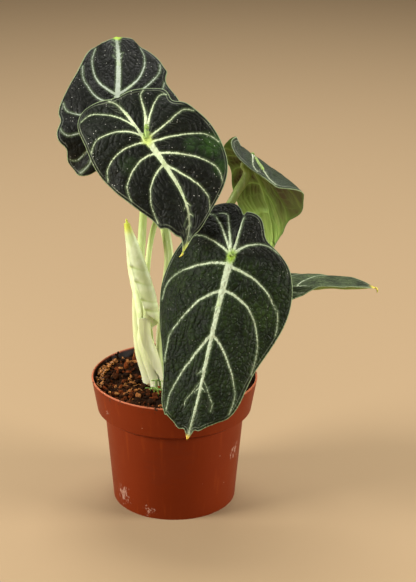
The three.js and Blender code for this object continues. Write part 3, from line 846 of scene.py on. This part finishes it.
def bent_point(leaf, side, vein, out, along, across):
    """A point of the flat blade once the blade is folded, bent and waved."""
    half = leaf["left"] if side > 0 else leaf["right"]
    length = leaf["length"]
    forward_bend = math.radians(leaf["droop"][0]) / length
    backward_bend = math.radians(leaf["droop"][1]) / (0.4 * length)
    per_length = np.where(along >= 0, forward_bend, backward_bend)
    bend = per_length * along
    fold = math.radians(half["fold"])
    roll = max(abs(math.radians(half["curl"])), 1e-6) / (0.35 * length)
    slope = fold - roll * across
    sideways = side * (math.sin(fold) - np.sin(slope)) / roll
    raised = (np.cos(slope) - math.cos(fold)) / roll
    share = np.maximum(along / length, 0)
    swayed = sideways + leaf["sway"][0] * share ** 2 + leaf["sway"][1] * share ** 5
    height = raised + out * out * spline(half["lift"], vein)
    forward = np.sin(bend) / per_length + height * np.sin(bend)
    upward = (np.cos(bend) - 1) / per_length + height * np.cos(bend)
    ahead, left, up = blade_axes(leaf)
    return np.array(leaf["at"]) + np.outer(forward, ahead) + np.outer(swayed, left) + np.outer(upward, up)


def path_distance(spots, path):
    """How far each spot lies from a path, and at which share of the path that is."""
    best = np.full(len(spots), 1e9)
    share = np.zeros(len(spots))
    for i in range(len(path) - 1):
        step = path[i + 1] - path[i]
        t = np.clip(((spots - path[i]) @ step) / max(step @ step, 1e-9), 0, 1)
        gap = np.linalg.norm(spots - path[i] - t[:, None] * step, axis=1)
        closer = gap < best
        best = np.where(closer, gap, best)
        share = np.where(closer, (i + t) / (len(path) - 1), share)
    return best, share


def vein_line(leaf, half, veins, outs):
    along, across = flat_point(leaf, half, np.asarray(veins, float), np.asarray(outs, float))
    return np.stack([along, across], 1)


def main_vein_gap(leaf, half, spots, draw):
    """How far each spot lies outside the main veins' sides. Inside a vein it is below zero."""
    rib = leaf["rib"]
    gap, share = path_distance(spots, np.array([(0.0, 0.0), (0.985 * leaf["length"], 0.0)]))
    best = gap - np.interp(share, [0, 0.3, 0.65, 1], rib)
    best = np.minimum(best, np.linalg.norm(spots, axis=1) - 1.15 * rib[0])
    outs = np.linspace(0, 0.955, 28)
    toward_tip = 0.22 * np.clip((outs - 0.8) / 0.155, 0, 1) ** 2
    for vein, wide, seen in half["veins"]:
        kinks = 0.014 * np.sin(9 * outs + draw.uniform(0, 6))
        kinks = kinks + 0.006 * np.sin(27 * outs + draw.uniform(0, 6))
        path = vein_line(leaf, half, vein + kinks * np.minimum(4 * outs, 1) + toward_tip, seen * outs)
        gap, share = path_distance(spots, path)
        thin = min(thin_vein, wide)
        best = np.minimum(best, gap - thin - (wide - thin) * (1 - share) ** 1.6)
    for start in leaf["spurs"]:
        length = draw.uniform(3, 6.5)
        heading = math.radians(draw.uniform(28, 55))
        end = (start + length * math.cos(heading), length * math.sin(heading))
        gap, share = path_distance(spots, np.array([(start, 0.0), end]))
        best = np.minimum(best, gap - 0.5 * (1 - share))
    return best


def fine_vein_gap(leaf, half, spots, draw):
    """How far each spot lies from the net of fine veins that meet in a zigzag between main ones."""
    best = np.full(len(spots), 1e9)
    for vein in range(8):
        sway = 0.05 * np.sin(np.linspace(0, 16, 20) + draw.uniform(0, 6))
        middle = vein_line(leaf, half, vein + 0.5 + sway, np.linspace(0.1, 0.95, 20))
        best = np.minimum(best, path_distance(spots, middle)[0])
        for first in np.arange(0.1, 0.88, leaf["ladder"]):
            for low, high, slant in ((0, 0.5, 1), (0.5, 1, -1)):
                begin = first + draw.uniform(-0.045, 0.045)
                rise = slant * draw.uniform(0.07, 0.19)
                steps = np.linspace(0, 1, 6)
                bulge = 0.02 * np.sin(math.pi * steps)
                outs = begin + (0.1 if slant < 0 else 0) + rise * steps + bulge
                rung = vein_line(leaf, half, vein + low + (high - low) * steps, np.clip(outs, 0, 0.98))
                best = np.minimum(best, path_distance(spots, rung)[0])
    return best


def blade_net(leaf, rows, columns):
    """The blade's middle surface as one welded net, with the numbers of each point."""
    draw = random.Random(leaf["seed"])
    grid_rows = np.linspace(0, 8, rows + 1)
    grid_outs = np.linspace(0, 1, columns + 1)
    places, numbers, quads = [], [], []
    for side in (1, -1):
        half = leaf["left"] if side > 0 else leaf["right"]
        vein, out = [grid.ravel() for grid in np.meshgrid(grid_rows, grid_outs, indexing="ij")]
        along, across = flat_point(leaf, half, vein, out)
        spots = np.stack([along, across], 1)
        start = len(places) * len(vein)
        places.append(bent_point(leaf, side, vein, out, along, across))
        main = main_vein_gap(leaf, half, spots, draw)
        fine = fine_vein_gap(leaf, half, spots, draw)
        edge = path_distance(spots, vein_line(leaf, half, np.linspace(0, 8, 241), np.ones(241)))[0]
        numbers.append(np.stack([main, fine, edge, along, side * across, vein, out], 1))
        corner = start + np.arange(rows)[:, None] * (columns + 1) + np.arange(columns)[None, :]
        a, b = corner.ravel(), corner.ravel() + 1
        c, d = b + columns + 1, a + columns + 1
        quads.append(np.stack([a, d, c, b] if side > 0 else [a, b, c, d], 1))
    places, numbers, quads = np.concatenate(places), np.concatenate(numbers), np.concatenate(quads)
    keys = np.round(places * 2000).astype(np.int64)
    _, first, inverse = np.unique(keys, axis=0, return_index=True, return_inverse=True)
    inverse = inverse.ravel()
    faces = []
    for quad in inverse[quads]:
        corners = list(dict.fromkeys(quad.tolist()))
        if len(corners) > 2:
            faces.append(corners)
    return places[first], numbers[first], faces


def net_normals(points, faces):
    """Each point's direction square to the net."""
    normals = np.zeros_like(points)
    for count in (3, 4):
        group = np.array([face for face in faces if len(face) == count])
        if len(group) == 0:
            continue
        across = points[group[:, 2]] - points[group[:, 0]]
        other = points[group[:, count - 1]] - points[group[:, 1]]
        square = np.cross(across, other)
        for corner in range(count):
            np.add.at(normals, group[:, corner], square)
    return normals / np.maximum(np.linalg.norm(normals, axis=1), 1e-12)[:, None]


def open_edges(faces):
    """The net's outer edges, in the order in which their faces go round."""
    edges = {}
    for face in faces:
        for a, b in zip(face, face[1:] + face[:1]):
            if (b, a) in edges:
                del edges[(b, a)]
            else:
                edges[(a, b)] = True
    return list(edges)


def build_blade(name, node, leaf, upper, lower, rows=184, columns=64):
    points, numbers, faces = blade_net(leaf, rows, columns)
    main, fine, edge, along, across, vein, out = numbers.T
    normals = net_normals(points, faces)
    puffed = 1 - np.exp(-np.maximum(main, 0) / 2.4)
    pillows = 0.66 + 0.34 * (1 - np.exp(-(fine / 1.5) ** 1.5))
    calm = 1 - np.exp(-edge / 3.5)
    relief = leaf["puff"] * puffed * pillows * calm
    roam = [noise.noise(Vector((x, y, leaf["seed"])) * 0.11) for x, y in zip(along, across)]
    relief += 0.8 * np.array(roam) * calm
    relief += (0.4 * np.sin(4.3 * vein + leaf["seed"]) + 0.12 * np.sin(11 * vein)) * out ** 8
    points = points + normals * relief[:, None]
    normals = net_normals(points, faces)
    thick = half_thick_edge + half_thick_more * (1 - np.exp(-edge / 1.5))
    crown = vein_crown * np.clip(-main / 0.8, 0, 1)
    keel = rib_keel * np.clip(0.5 - main, 0, 1.7) * (1 - np.exp(-edge / 3))
    above = points + normals * (thick + crown)[:, None]
    below = points - normals * (thick + keel)[:, None]
    count = len(points)
    all_faces = list(faces)
    all_faces += [[corner + count for corner in reversed(face)] for face in faces]
    all_faces += [[b, a, a + count, b + count] for a, b in open_edges(faces)]
    piece = make_piece(name, np.concatenate([above, below]), all_faces, upper, [node])
    piece.data.materials.append(lower)
    kinds = np.zeros(len(all_faces), np.int32)
    kinds[len(faces):2 * len(faces)] = 1
    piece.data.polygons.foreach_set("material_index", kinds)
    tip = np.hypot(along - leaf["length"], across)
    for label, values in (
        ("main_vein", main), ("fine_vein", fine), ("edge", edge), ("along", along),
        ("across", across), ("tip", tip),
    ):
        set_numbers(piece, label, np.concatenate([values, values]))
    return piece


def measure(tree, name):
    return place(tree, "ShaderNodeAttribute", attribute_name=name).outputs["Fac"]


def near_spot(tree, along, across, reach, ragged):
    """A soft patch round a spot of the blade, given in millimetres along and across it."""
    here = place(tree, "ShaderNodeCombineXYZ", {"X": measure(tree, "along"), "Y": measure(tree, "across")})
    inputs = {0: here.outputs[0], 1: (along, across, 0)}
    away = place(tree, "ShaderNodeVectorMath", inputs, operation="DISTANCE").outputs["Value"]
    wavy = plus(tree, away, times(tree, ragged, 0.6 * reach))
    return rising(tree, wavy, 1.3 * reach, 0.55 * reach)


def blade_top_look(
    name, ground, tone_and_sheen, lobes, vein, centre, tip_colour, dust, patches=(), lines=0.2, quilting=0.6
):
    """The velvety upper face with its silvery veins."""
    material, tree, shader = new_material(name)
    where = object_place(tree)
    main = measure(tree, "main_vein")
    fine = measure(tree, "fine_vein")
    edge = measure(tree, "edge")
    soft = cloud(tree, where, 95, 4.0)
    grain = cloud(tree, where, 2300, 2.0)
    # Paler patches laid at random: partly the tissue's own tone and partly painted sheen of the velvet.
    colour = mixed(tree, rising(tree, soft, 0.36, 0.68), ground, tone_and_sheen)
    colour = mixed(tree, rising(tree, measure(tree, "along"), 4.0, -9.0), colour, lobes)
    for along, across, reach, patch_colour in patches:
        colour = mixed(tree, near_spot(tree, along, across, reach, soft), colour, patch_colour)
    # Fine pale speckle over the tissue: partly the velvet's own grain and partly painted sparkle of its
    # pile.
    pile_grain_and_sparkle = times(tree, rising(tree, grain, 0.48, 0.8), 0.16)
    colour = mixed(tree, pile_grain_and_sparkle, colour, srgb(96, 108, 82))
    # The creases along the fine veins are painted nearly black: painted shade in the hollows between the
    # puffed tissue.
    crease = times(tree, rising(tree, fine, 1.1, 0.1), 0.45)
    colour = mixed(tree, crease, colour, srgb(8, 10, 7))
    ripple = {"Vector": where, "Scale": 260.0, "Detail": 2.0}
    warp = place(tree, "ShaderNodeTexNoise", ripple).outputs["Color"]
    shift = {0: warp, 1: (0.0022, 0.0022, 0.0022), 2: where}
    shaken = place(tree, "ShaderNodeVectorMath", shift, operation="MULTIPLY_ADD").outputs[0]
    inputs = {"Vector": shaken, "Scale": 290.0}
    cell_edge = place(tree, "ShaderNodeTexVoronoi", inputs, feature="DISTANCE_TO_EDGE").outputs["Distance"]
    # The edges of the small puckers are painted darker: painted shade in the furrows between them.
    furrow_shade = times(tree, rising(tree, cell_edge, 0.14, 0.02), 0.4 * quilting)
    colour = mixed(tree, furrow_shade, colour, srgb(8, 10, 7))
    thread = times(tree, rising(tree, fine, 0.3, 0.05), rising(tree, main, 7.0, 0.5))
    thread = times(tree, thread, rising(tree, cloud(tree, where, 180), 0.4, 0.6))
    colour = mixed(tree, times(tree, thread, lines), colour, vein)
    gathering = place(tree, "ShaderNodeMath", {0: edge, 1: 2.1, 2: 0.32}, operation="COMPARE").outputs[0]
    fade = rising(tree, cloud(tree, where, 50), 0.35, 0.6)
    colour = mixed(tree, times(tree, times(tree, gathering, fade), 0.16), colour, vein)
    # The pale line along the margin: partly the blade's own pale edge and partly a painted highlight where
    # light catches it.
    rim = times(tree, rising(tree, edge, 0.75, 0.3), 0.8)
    colour = mixed(tree, rim, colour, srgb(138, 156, 116))
    frayed = times(tree, math_of(tree, "SUBTRACT", cloud(tree, where, 900, 5.0), 0.5), 1.5)
    vein_side = plus(tree, main, frayed)
    halo = times(tree, rising(tree, vein_side, 1.7, 0.1), 0.42)
    colour = mixed(tree, halo, colour, srgb(104, 122, 88))
    inward = plus(tree, times(tree, rising(tree, edge, 1.0, 17.0), 0.45), 0.55)
    vein_mask = times(tree, rising(tree, vein_side, 0.35, -0.25), inward)
    colour = mixed(tree, vein_mask, colour, vein)
    limy = times(tree, rising(tree, cloud(tree, where, 120), 0.5, 0.7), rising(tree, main, 0.0, -0.6))
    colour = mixed(tree, times(tree, limy, 0.5), colour, srgb(170, 196, 120))
    heart = near_spot(tree, 1.0, 0.0, 6.5, cloud(tree, where, 260))
    colour = mixed(tree, times(tree, heart, rising(tree, main, 1.6, -0.6)), colour, centre)
    colour = mixed(tree, rising(tree, measure(tree, "tip"), 5.5, 1.5), colour, tip_colour)
    drops = grouped(tree, speck_group, Scale=600.0, Size=0.24, Share=0.26)
    dusty = rising(tree, cloud(tree, where, 48), 0.42, 0.58)
    drops = times(tree, drops, times(tree, dusty, dust))
    colour = mixed(tree, drops, colour, srgb(196, 198, 188))
    tree.links.new(colour, shader.inputs["Base Color"])
    patchy = place(tree, "ShaderNodeMath", {0: soft, 1: 0.25, 2: 0.42}, operation="MULTIPLY_ADD")
    tree.links.new(patchy.outputs[0], shader.inputs["Roughness"])
    tune(shader, {
        "Specular IOR Level": 0.12, "Sheen Weight": 0.03, "Sheen Roughness": 0.35,
        "Sheen Tint": srgb(206, 214, 200),
    })
    hollow = times(tree, rising(tree, fine, 0.0, 1.2), 0.6)
    quilt = times(tree, rising(tree, cell_edge, 0.0, 0.34), quilting)
    height = plus(tree, plus(tree, times(tree, grain, 0.35), hollow), quilt)
    bumped(tree, shader, height, 0.7, 0.0006)
    return material


def blade_under_look(name, ground, lit, vein, tip_light):
    """The paler lower face with its raised ribs, brighter towards the tip."""
    material, tree, shader = new_material(name)
    where = object_place(tree)
    main = measure(tree, "main_vein")
    patches = cloud(tree, where, 55, 4.0)
    colour = mixed(tree, rising(tree, patches, 0.36, 0.64), ground, lit)
    toward_tip = rising(tree, measure(tree, "along"), 34.0, 78.0)
    colour = mixed(tree, times(tree, toward_tip, 0.85), colour, tip_light)
    thread = times(tree, rising(tree, measure(tree, "fine_vein"), 0.9, 0.1), 0.16)
    colour = mixed(tree, thread, colour, vein)
    glow = times(tree, rising(tree, main, 4.5, 0.0), 0.4)
    colour = mixed(tree, glow, colour, vein)
    colour = mixed(tree, times(tree, rising(tree, main, 0.6, -0.5), 0.8), colour, vein)
    rim = times(tree, rising(tree, measure(tree, "edge"), 2.2, 0.5), 0.6)
    colour = mixed(tree, rim, colour, srgb(104, 140, 62))
    tree.links.new(colour, shader.inputs["Base Color"])
    tune(shader, {
        "Roughness": 0.5, "Specular IOR Level": 0.35, "Subsurface Weight": 0.15,
        "Subsurface Radius": (0.002, 0.003, 0.001), "Subsurface Scale": 1.0,
    })
    height = plus(tree, cloud(tree, where, 1500), rising(tree, measure(tree, "fine_vein"), 1.2, 0.0))
    bumped(tree, shader, height, 0.35, 0.0004)
    return material


back_leaf.update(rib=(2.0, 1.75, 1.5, 1.0), spurs=(44, 50, 57, 62), ladder=0.13, puff=0.7, seed=3)
back_leaf["left"]["veins"] = [
    (1, 0.9, 1), (2, 0.8, 1), (3, 0.7, 1), (4, 0.6, 1), (5.1, 0.75, 1), (6, 0.9, 1),
]
back_leaf["right"]["veins"] = [
    (1, 0.9, 1), (2, 0.8, 1), (3, 0.8, 1), (4, 0.8, 1), (5, 0.75, 1), (6, 0.9, 1),
]
middle_leaf.update(rib=(2.4, 1.55, 0.9, 0.45), spurs=(50, 57, 63, 69), ladder=0.12, puff=1.6, seed=5)
middle_leaf["left"]["veins"] = [
    (1, 2.0, 1), (2, 1.4, 1), (3, 0.75, 1), (4, 0.75, 1), (5, 0.8, 1), (6, 0.8, 1),
]
middle_leaf["right"]["veins"] = [
    (1, 3.0, 1), (2, 0.95, 1), (3, 0.75, 1), (4, 0.7, 1), (5, 0.75, 1), (6, 0.8, 1),
]
front_leaf.update(rib=(2.35, 1.6, 0.95, 0.45), spurs=(8, 34, 78, 90), ladder=0.1, puff=1.0, seed=8)
front_leaf["left"]["veins"] = [
    (0.35, 1.5, 0.9), (2, 1.1, 1), (3.12, 1.05, 1), (4, 1.0, 1), (5, 0.85, 1), (6, 0.1, 0.7),
]
front_leaf["right"]["veins"] = [
    (1, 1.2, 0.8), (1.35, 0.9, 1), (2, 0.9, 1), (3, 0.95, 1), (4, 0.95, 1), (5, 0.95, 1), (6, 0.12, 0.6),
]
far_leaf.update(rib=(2.2, 1.9, 1.4, 0.6), spurs=(), ladder=0.14, puff=0.8, seed=13)
far_leaf["left"]["veins"] = [(vein, 0.8, 1) for vein in range(1, 8)]
far_leaf["right"]["veins"] = [(1, 0.9, 1), (2.5, 1.1, 1), (4, 0.8, 1), (5, 0.8, 1), (6, 0.8, 1), (7, 0.5, 1)]
side_leaf.update(rib=(1.8, 1.3, 0.9, 0.4), spurs=(), ladder=0.14, puff=0.7, seed=21)
hidden_leaf.update(rib=(1.1, 0.8, 0.5, 0.2), spurs=(), ladder=0.17, puff=0.4, seed=34)
for half in (side_leaf["left"], side_leaf["right"]):
    half["veins"] = [(vein, 0.6, 1) for vein in range(1, 7)]
hidden_half["veins"] = [(vein, 0.45, 1) for vein in range(1, 7)]

silver = srgb(216, 232, 192)
under = blade_under_look(
    "blade underside", srgb(70, 58, 26), srgb(84, 98, 38), srgb(150, 180, 92), srgb(150, 176, 88)
)
dark_top = blade_top_look(
    "black velvet blade", srgb(7, 10, 6), srgb(18, 23, 15), srgb(14, 20, 12), silver, srgb(206, 228, 128),
    srgb(204, 214, 110), 0.9, [
        (28, 34, 12, srgb(36, 66, 14)), (44, 31, 8, srgb(30, 56, 13)), (20, 22, 7, srgb(38, 60, 28)),
        (8, -20, 9, srgb(28, 42, 18)),
    ], 0.12,
)
back_top = blade_top_look(
    "highest blade", srgb(6, 7, 6), srgb(15, 17, 14), srgb(11, 13, 11), srgb(168, 180, 164),
    srgb(186, 204, 130), srgb(168, 206, 70), 0.6, [], 0.08,
)
green_top = blade_top_look(
    "deep green blade", srgb(17, 30, 9), srgb(30, 45, 14), srgb(15, 18, 12), srgb(188, 203, 172),
    srgb(140, 176, 62), srgb(222, 190, 76), 0.3, [(33, 30, 14, srgb(40, 58, 20))], 0.1, 1.3,
)
pale_top = blade_top_look(
    "turned blade", srgb(30, 40, 24), srgb(50, 62, 40), srgb(52, 62, 46), srgb(214, 222, 196),
    srgb(110, 168, 66), srgb(212, 204, 112), 0.2, [], 0.3,
)

build_blade("leaf_back", "blade_back", back_leaf, back_top, under)
build_blade("leaf_middle", "blade_middle", middle_leaf, dark_top, under)
build_blade("leaf_front", "blade_front", front_leaf, green_top, under, 216, 76)
build_blade("leaf_far", "blade_far", far_leaf, pale_top, under)
# The blade seen edge-on gets paler colours of its own: painted sheen of the velvet at a grazing view.
edge_on_sheen_top = blade_top_look(
    "blade seen edge-on with painted sheen", srgb(52, 66, 38), srgb(88, 104, 68), srgb(50, 62, 38), srgb(176, 188, 160),
    srgb(140, 176, 80), srgb(226, 206, 84), 0.1, [], 0.2,
)
build_blade("leaf_side", "blade_side", side_leaf, edge_on_sheen_top, under, 136, 44)
build_blade("leaf_hidden", "blade_hidden", hidden_leaf, green_top, under, 96, 30)


def build_drip_tips():
    """The last few millimetres of two blades hang down as a thin yellow hook."""
    hooks = []
    for leaf, shifts in (
        (side_leaf, ((0.8, 0, -0.7), (1.4, 0, -2.2), (1.2, 0, -3.8))),
        (middle_leaf, ((-0.4, -0.2, -1.0), (-1.3, -0.3, -2.0), (-2.4, -0.3, -2.9))),
    ):
        vein, out = np.array([8.0]), np.array([0.985])
        root = bent_point(leaf, 1, vein, out, *flat_point(leaf, leaf["left"], vein, out))[0]
        stations = [(*root, 0.75)]
        for shift, radius in zip(shifts, (0.65, 0.5, 0.25)):
            stations.append((*(root + np.array(shift)), radius))
        hooks.append(swept(smooth_path(stations, 18), 12, (0, 1, 0), plain_round))
    points, faces = gathered(hooks)
    look = weed_look("drip tip", srgb(168, 180, 52), srgb(226, 206, 84))
    make_piece("drip_tips", points, faces, look)


build_drip_tips()


def stalk_stations(leaf, points):
    """The stalk's points from its foot in the soil up to its blade."""
    x, y, z, radius = points[0]
    up = blade_axes(leaf)[2]
    at = np.array(leaf["at"])
    last_steps = ((stalk_bend, stalk_top), (0.6, stalk_top + 0.25))
    ends = [(*(at - up * depth), width) for depth, width in last_steps]
    return [(x, y, z - stalk_foot, radius), *points, *ends]


build_stalk("petiole_middle", "stalk_middle", stalk_stations(middle_leaf, [
    (-19, -4, 92, 4.4), (-24, -4, 112, 4.0), (-26.5, -4, 136, 3.4), (-26.5, -3, 160, 3.2),
    (-24, 0, 185, 3.0), (-22, 3, 215, 2.7), (-20, 2, 245, 2.5),
]), (1, -0.4, 0))
build_stalk("petiole_back", "stalk_back", stalk_stations(back_leaf, [
    (-9, 4, 92, 4.2), (-10, 5, 118, 3.6), (-6.5, 8, 158, 3.2), (-4.5, 11, 182, 3.2),
    (-8, 16, 203, 3.3), (-17.5, 24, 238, 2.9), (-31, 30, 264, 2.5),
]), (0.3, -1, 0))
build_stalk("petiole_hidden", "stalk_hidden", stalk_stations(hidden_leaf, [
    (-16, 12, 92, 2.6), (-19, 12, 130, 2.2), (-19.5, 10, 175, 2.0),
    (-15, 8, 203, 2.0), (-8.5, 10, 222, 1.9), (-10, 22, 238, 1.9), (-4, 33, 249, 1.8),
]), (0.6, -1, 0), groove=0.15)
build_stalk("petiole_front", "stalk_front", stalk_stations(front_leaf, [
    (-5, -6, 92, 3.8), (-1, -8, 118, 3.3), (9, -13, 152, 3.0), (24, -22, 182, 2.8),
]), (-1, -0.3, 0))
build_stalk("petiole_far", "stalk_far", stalk_stations(far_leaf, [
    (-7, 15, 92, 3.8), (-2, 19, 118, 3.4), (9, 23, 155, 3.1), (26, 25, 193, 3.0),
    (42, 26, 222, 2.9), (50, 29, 240, 2.8),
]), (-1, -0.5, 0.3))
build_stalk("petiole_side", "stalk_side", stalk_stations(side_leaf, [
    (0.5, 6, 92, 3.2), (7, 7, 112, 2.9), (23, 5, 134, 2.7), (44, 2, 149, 2.5),
]), (-1, -0.3, 0.5))


# Youngest leaf. Its blade is still rolled lengthwise into a pale spindle with a soft yellow
# point. Its outer turn is a thin sheet wound round the spindle and pinched along the free
# margin. It stands on a stout stalk that another thin sheet, the sheath, clasps.
young_stalk = [
    (-12.5, -12.5, 79, 4.6), (-12.5, -12.5, 92, 4.6), (-17, -14.5, 114, 6.0), (-21.2, -15.4, 129, 5.2),
    (-21.6, -15.5, 136.5, 3.6),
]
young_blade = [
    (-21.6, -15.5, 136.0, 3.2), (-21.6, -15.6, 140, 4.4), (-20, -16.5, 148, 6.6), (-20.6, -17, 160, 7.5),
    (-23.9, -16.5, 174, 7.1), (-27.1, -16, 188, 5.7), (-29.7, -16, 202, 3.3), (-31.9, -16, 212, 1.4),
    (-32.8, -16, 217, 0.5),
]
pinches = (0.58, 0.45, 0.29, 0.2, 0.115)
young_flat = 0.62
wrap_path = [
    (-19.2, -15.6, 132, 5.2), (-18.2, -16, 140, 6.2), (-18.6, -16.6, 150, 7.0), *young_blade[3:],
]


def rolled_section(share, turns):
    flat = 1 / np.sqrt(np.cos(turns) ** 2 + (np.sin(turns) / young_flat) ** 2)
    seam = 0.12 * np.exp(-((np.angle(np.exp(1j * (turns + 1.9 + 0.5 * share))) / 0.12) ** 2))
    return flat - seam


def wound_sheet(stations, foot, top, margin, end, flat, lift, rows=150, columns=60):
    """A thin sheet wound round a stem, from its free margin to an angle at the back.

    The foot is its height at the margin and at the far side, and the margin lists the angle of
    the free edge at each height. The lift gives how far the sheet stands off the stem."""
    x, y, z, radius = np.array(smooth_path(stations, 160)).T
    across, up = np.meshgrid(np.linspace(0, 1, columns), np.linspace(0, 1, rows))
    low = foot[0] + (foot[1] - foot[0]) * across ** 1.3
    height = low + up * (top - low)
    begin = np.radians(np.interp(height, [at for at, _ in margin], [turn for _, turn in margin]))
    angle = begin + across * (math.radians(end) - begin)
    off = lift(height, angle - begin, across)
    points = []
    for depth in (0, 0.5):
        flatter = np.sqrt(np.cos(angle) ** 2 + (np.sin(angle) / flat) ** 2)
        out = (np.interp(height, z, radius) + off - depth) / flatter
        sideways = np.interp(height, z, x) + out * np.cos(angle)
        backward = np.interp(height, z, y) + out * np.sin(angle)
        points.append(np.stack((sideways, backward, height), 2).reshape(-1, 3))
    count = rows * columns
    faces = []
    for row in range(rows - 1):
        for column in range(columns - 1):
            corner = row * columns + column
            faces.append([corner, corner + 1, corner + columns + 1, corner + columns])
    both = faces + [[corner + count for corner in reversed(face)] for face in faces]
    both += [[b, a, a + count, b + count] for a, b in open_edges(faces)]
    return np.concatenate(points), both, height.ravel(), (angle - begin).ravel()


def pinch_marks(height, far, width):
    """Depth of the creases that run from each pinch of the margin, and height of the pinches."""
    share = (height - young_blade[0][2]) / (young_blade[-1][2] - young_blade[0][2])
    creases = np.zeros_like(height)
    knobs = np.zeros_like(height)
    for pinch in pinches:
        drop = pinch + 0.012 - 0.022 * far
        creases = np.maximum(creases, np.exp(-(((share - drop) / width) ** 2)) * np.exp(-far / 1.6))
        knob = np.exp(-(((share - pinch - 0.02) / 0.02) ** 2)) * np.exp(-((far / 0.3) ** 2))
        knobs = np.maximum(knobs, knob)
    return creases, knobs


def wrap_lift(height, far, across):
    creases, knobs = pinch_marks(height, far, 0.024)
    swell = 0.9 * np.sin(math.pi * np.clip(across * 1.15, 0, 1)) ** 0.6
    lip = 0.7 * np.exp(-((far / 0.18) ** 2))
    return 0.35 + swell + lip + 1.7 * knobs - 1.0 * creases - 1.1 * np.clip((across - 0.85) / 0.15, 0, 1)


def sheath_lift(height, far, across):
    roll = 0.45 * np.exp(-((far / 0.2) ** 2))
    return 0.35 + roll - 0.7 * np.clip((across - 0.85) / 0.15, 0, 1)


def young_look():
    material, tree, shader = new_material("rolled young blade")
    where = object_place(tree)
    height = height_of(tree, where)
    patches = rising(tree, cloud(tree, where, 160), 0.35, 0.7)
    colour = mixed(tree, patches, srgb(204, 222, 160), srgb(222, 236, 188))
    # The creases of the outer turn are painted a deeper green: partly the folded tissue's own green and
    # partly painted shade.
    colour = mixed(tree, times(tree, measure(tree, "crease"), 0.8), colour, srgb(160, 192, 84))
    colour = mixed(tree, rising(tree, height, 0.2035, 0.2115), colour, srgb(196, 208, 72))
    tree.links.new(colour, shader.inputs["Base Color"])
    tune(shader, {
        "Roughness": 0.42, "Subsurface Weight": 0.12, "Subsurface Radius": (0.004, 0.005, 0.002),
        "Subsurface Scale": 1.0,
    })
    grain = plus(tree, cloud(tree, where, 1600), cloud(tree, object_place(tree, (1, 1, 0.2)), 500))
    bumped(tree, shader, grain, 0.3, 0.0004)
    return material


def build_young_leaf():
    build_stalk("petiole_young", "stalk_young", young_stalk, (1, -0.6, 0), groove=0.35, steps=60)
    points, faces = swept(smooth_path(young_blade, 150), 64, (1, 0, 0), rolled_section)
    look = young_look()
    make_piece("leaf_young", points, faces, look, ["blade_young"])
    margin = [(134, 272), (149, 258), (160, 246), (183, 224), (200, 203), (216, 185)]
    points, faces, height, far = wound_sheet(
        wrap_path, (150, 135), 214, margin, 402, young_flat, wrap_lift, 190, 70
    )
    wrap = make_piece("leaf_young_wrap", points, faces, look)
    creases, knobs = pinch_marks(height, far, 0.013)
    marks = np.clip(creases - 0.6 * knobs, 0, 1)
    set_numbers(wrap, "crease", np.concatenate([marks, marks]))
    margin = [(84, 318), (101, 300), (108, 277), (125, 255), (141, 236)]
    points, faces, _, _ = wound_sheet(
        young_stalk[:-1] + [(-21.6, -15.5, 147, 4.6)], (84, 84), 146, margin, 440, 1.0, sheath_lift, 90, 50
    )
    sheath = make_piece("leaf_young_sheath", points, faces, stalk_skin)
    set_numbers(sheath, "groove", np.zeros(len(points)))


build_young_leaf()


# Studio. A plain beige floor, soft lights at both sides, above and in front, and the camera at
# the photograph's height and distance.
film_width = 36
focal_rows, photo_rows = 1411, 582
camera_aim = (0.0236, 0.159)
camera_down, camera_roll = 20.5, 0.6


def build_floor():
    mesh = bpy.data.meshes.new("floor")
    mesh.from_pydata([(-9, -9, 0), (9, -9, 0), (9, 9, 0), (-9, 9, 0)], [], [(0, 1, 2, 3)])
    floor = bpy.data.objects.new("floor", mesh)
    bpy.context.collection.objects.link(floor)
    material, tree, shader = new_material("pale beige paper")
    shade = cloud(tree, object_place(tree), 0.7, 1.0)
    colour = mixed(tree, shade, srgb(158, 135, 104), srgb(164, 141, 109))
    tree.links.new(colour, shader.inputs["Base Color"])
    tune(shader, {"Roughness": 0.9, "Specular IOR Level": 0.2})
    mesh.materials.append(material)


def add_light(name, at, aim, size, power, colour):
    data = bpy.data.lights.new(name, "AREA")
    data.shape = "DISK"
    data.size = size
    data.energy = power
    data.color = colour
    light = bpy.data.objects.new(name, data)
    light.location = at
    light.rotation_euler = (Vector(aim) - Vector(at)).to_track_quat("-Z", "Y").to_euler()
    bpy.context.collection.objects.link(light)


build_floor()
add_light("left softbox", (-1.5, -0.45, 0.75), (0, 0, 0.2), 0.8, 46, (1.0, 0.97, 0.92))
add_light("right softbox", (1.5, -0.3, 0.6), (0, 0, 0.17), 0.8, 32, (1.0, 0.96, 0.9))
add_light("top softbox", (0.1, 1.0, 2.0), (0, 0.4, 0), 1.4, 42, (1.0, 0.98, 0.95))
add_light("front fill", (0.2, -2.2, 1.3), (0, 0, 0.17), 1.4, 7, (1.0, 0.98, 0.95))

world = bpy.data.worlds.new("studio")
world.use_nodes = True
world.node_tree.nodes["Background"].inputs["Color"].default_value = srgb(226, 208, 184)
world.node_tree.nodes["Background"].inputs["Strength"].default_value = 0.2
bpy.context.scene.world = world
bpy.context.scene.view_settings.view_transform = "Standard"

camera_data = bpy.data.cameras.new("camera")
camera_data.sensor_width = film_width
camera_data.lens = film_width * focal_rows / photo_rows
camera = bpy.data.objects.new("camera", camera_data)
bpy.context.collection.objects.link(camera)
down, roll = math.radians(camera_down), math.radians(camera_roll)
seat = Matrix.Translation((camera_aim[0], -math.cos(down), camera_aim[1] + math.sin(down)))
camera.matrix_world = seat @ Matrix.Rotation(math.pi / 2 - down, 4, "X") @ Matrix.Rotation(roll, 4, "Z")
bpy.context.scene.camera = camera
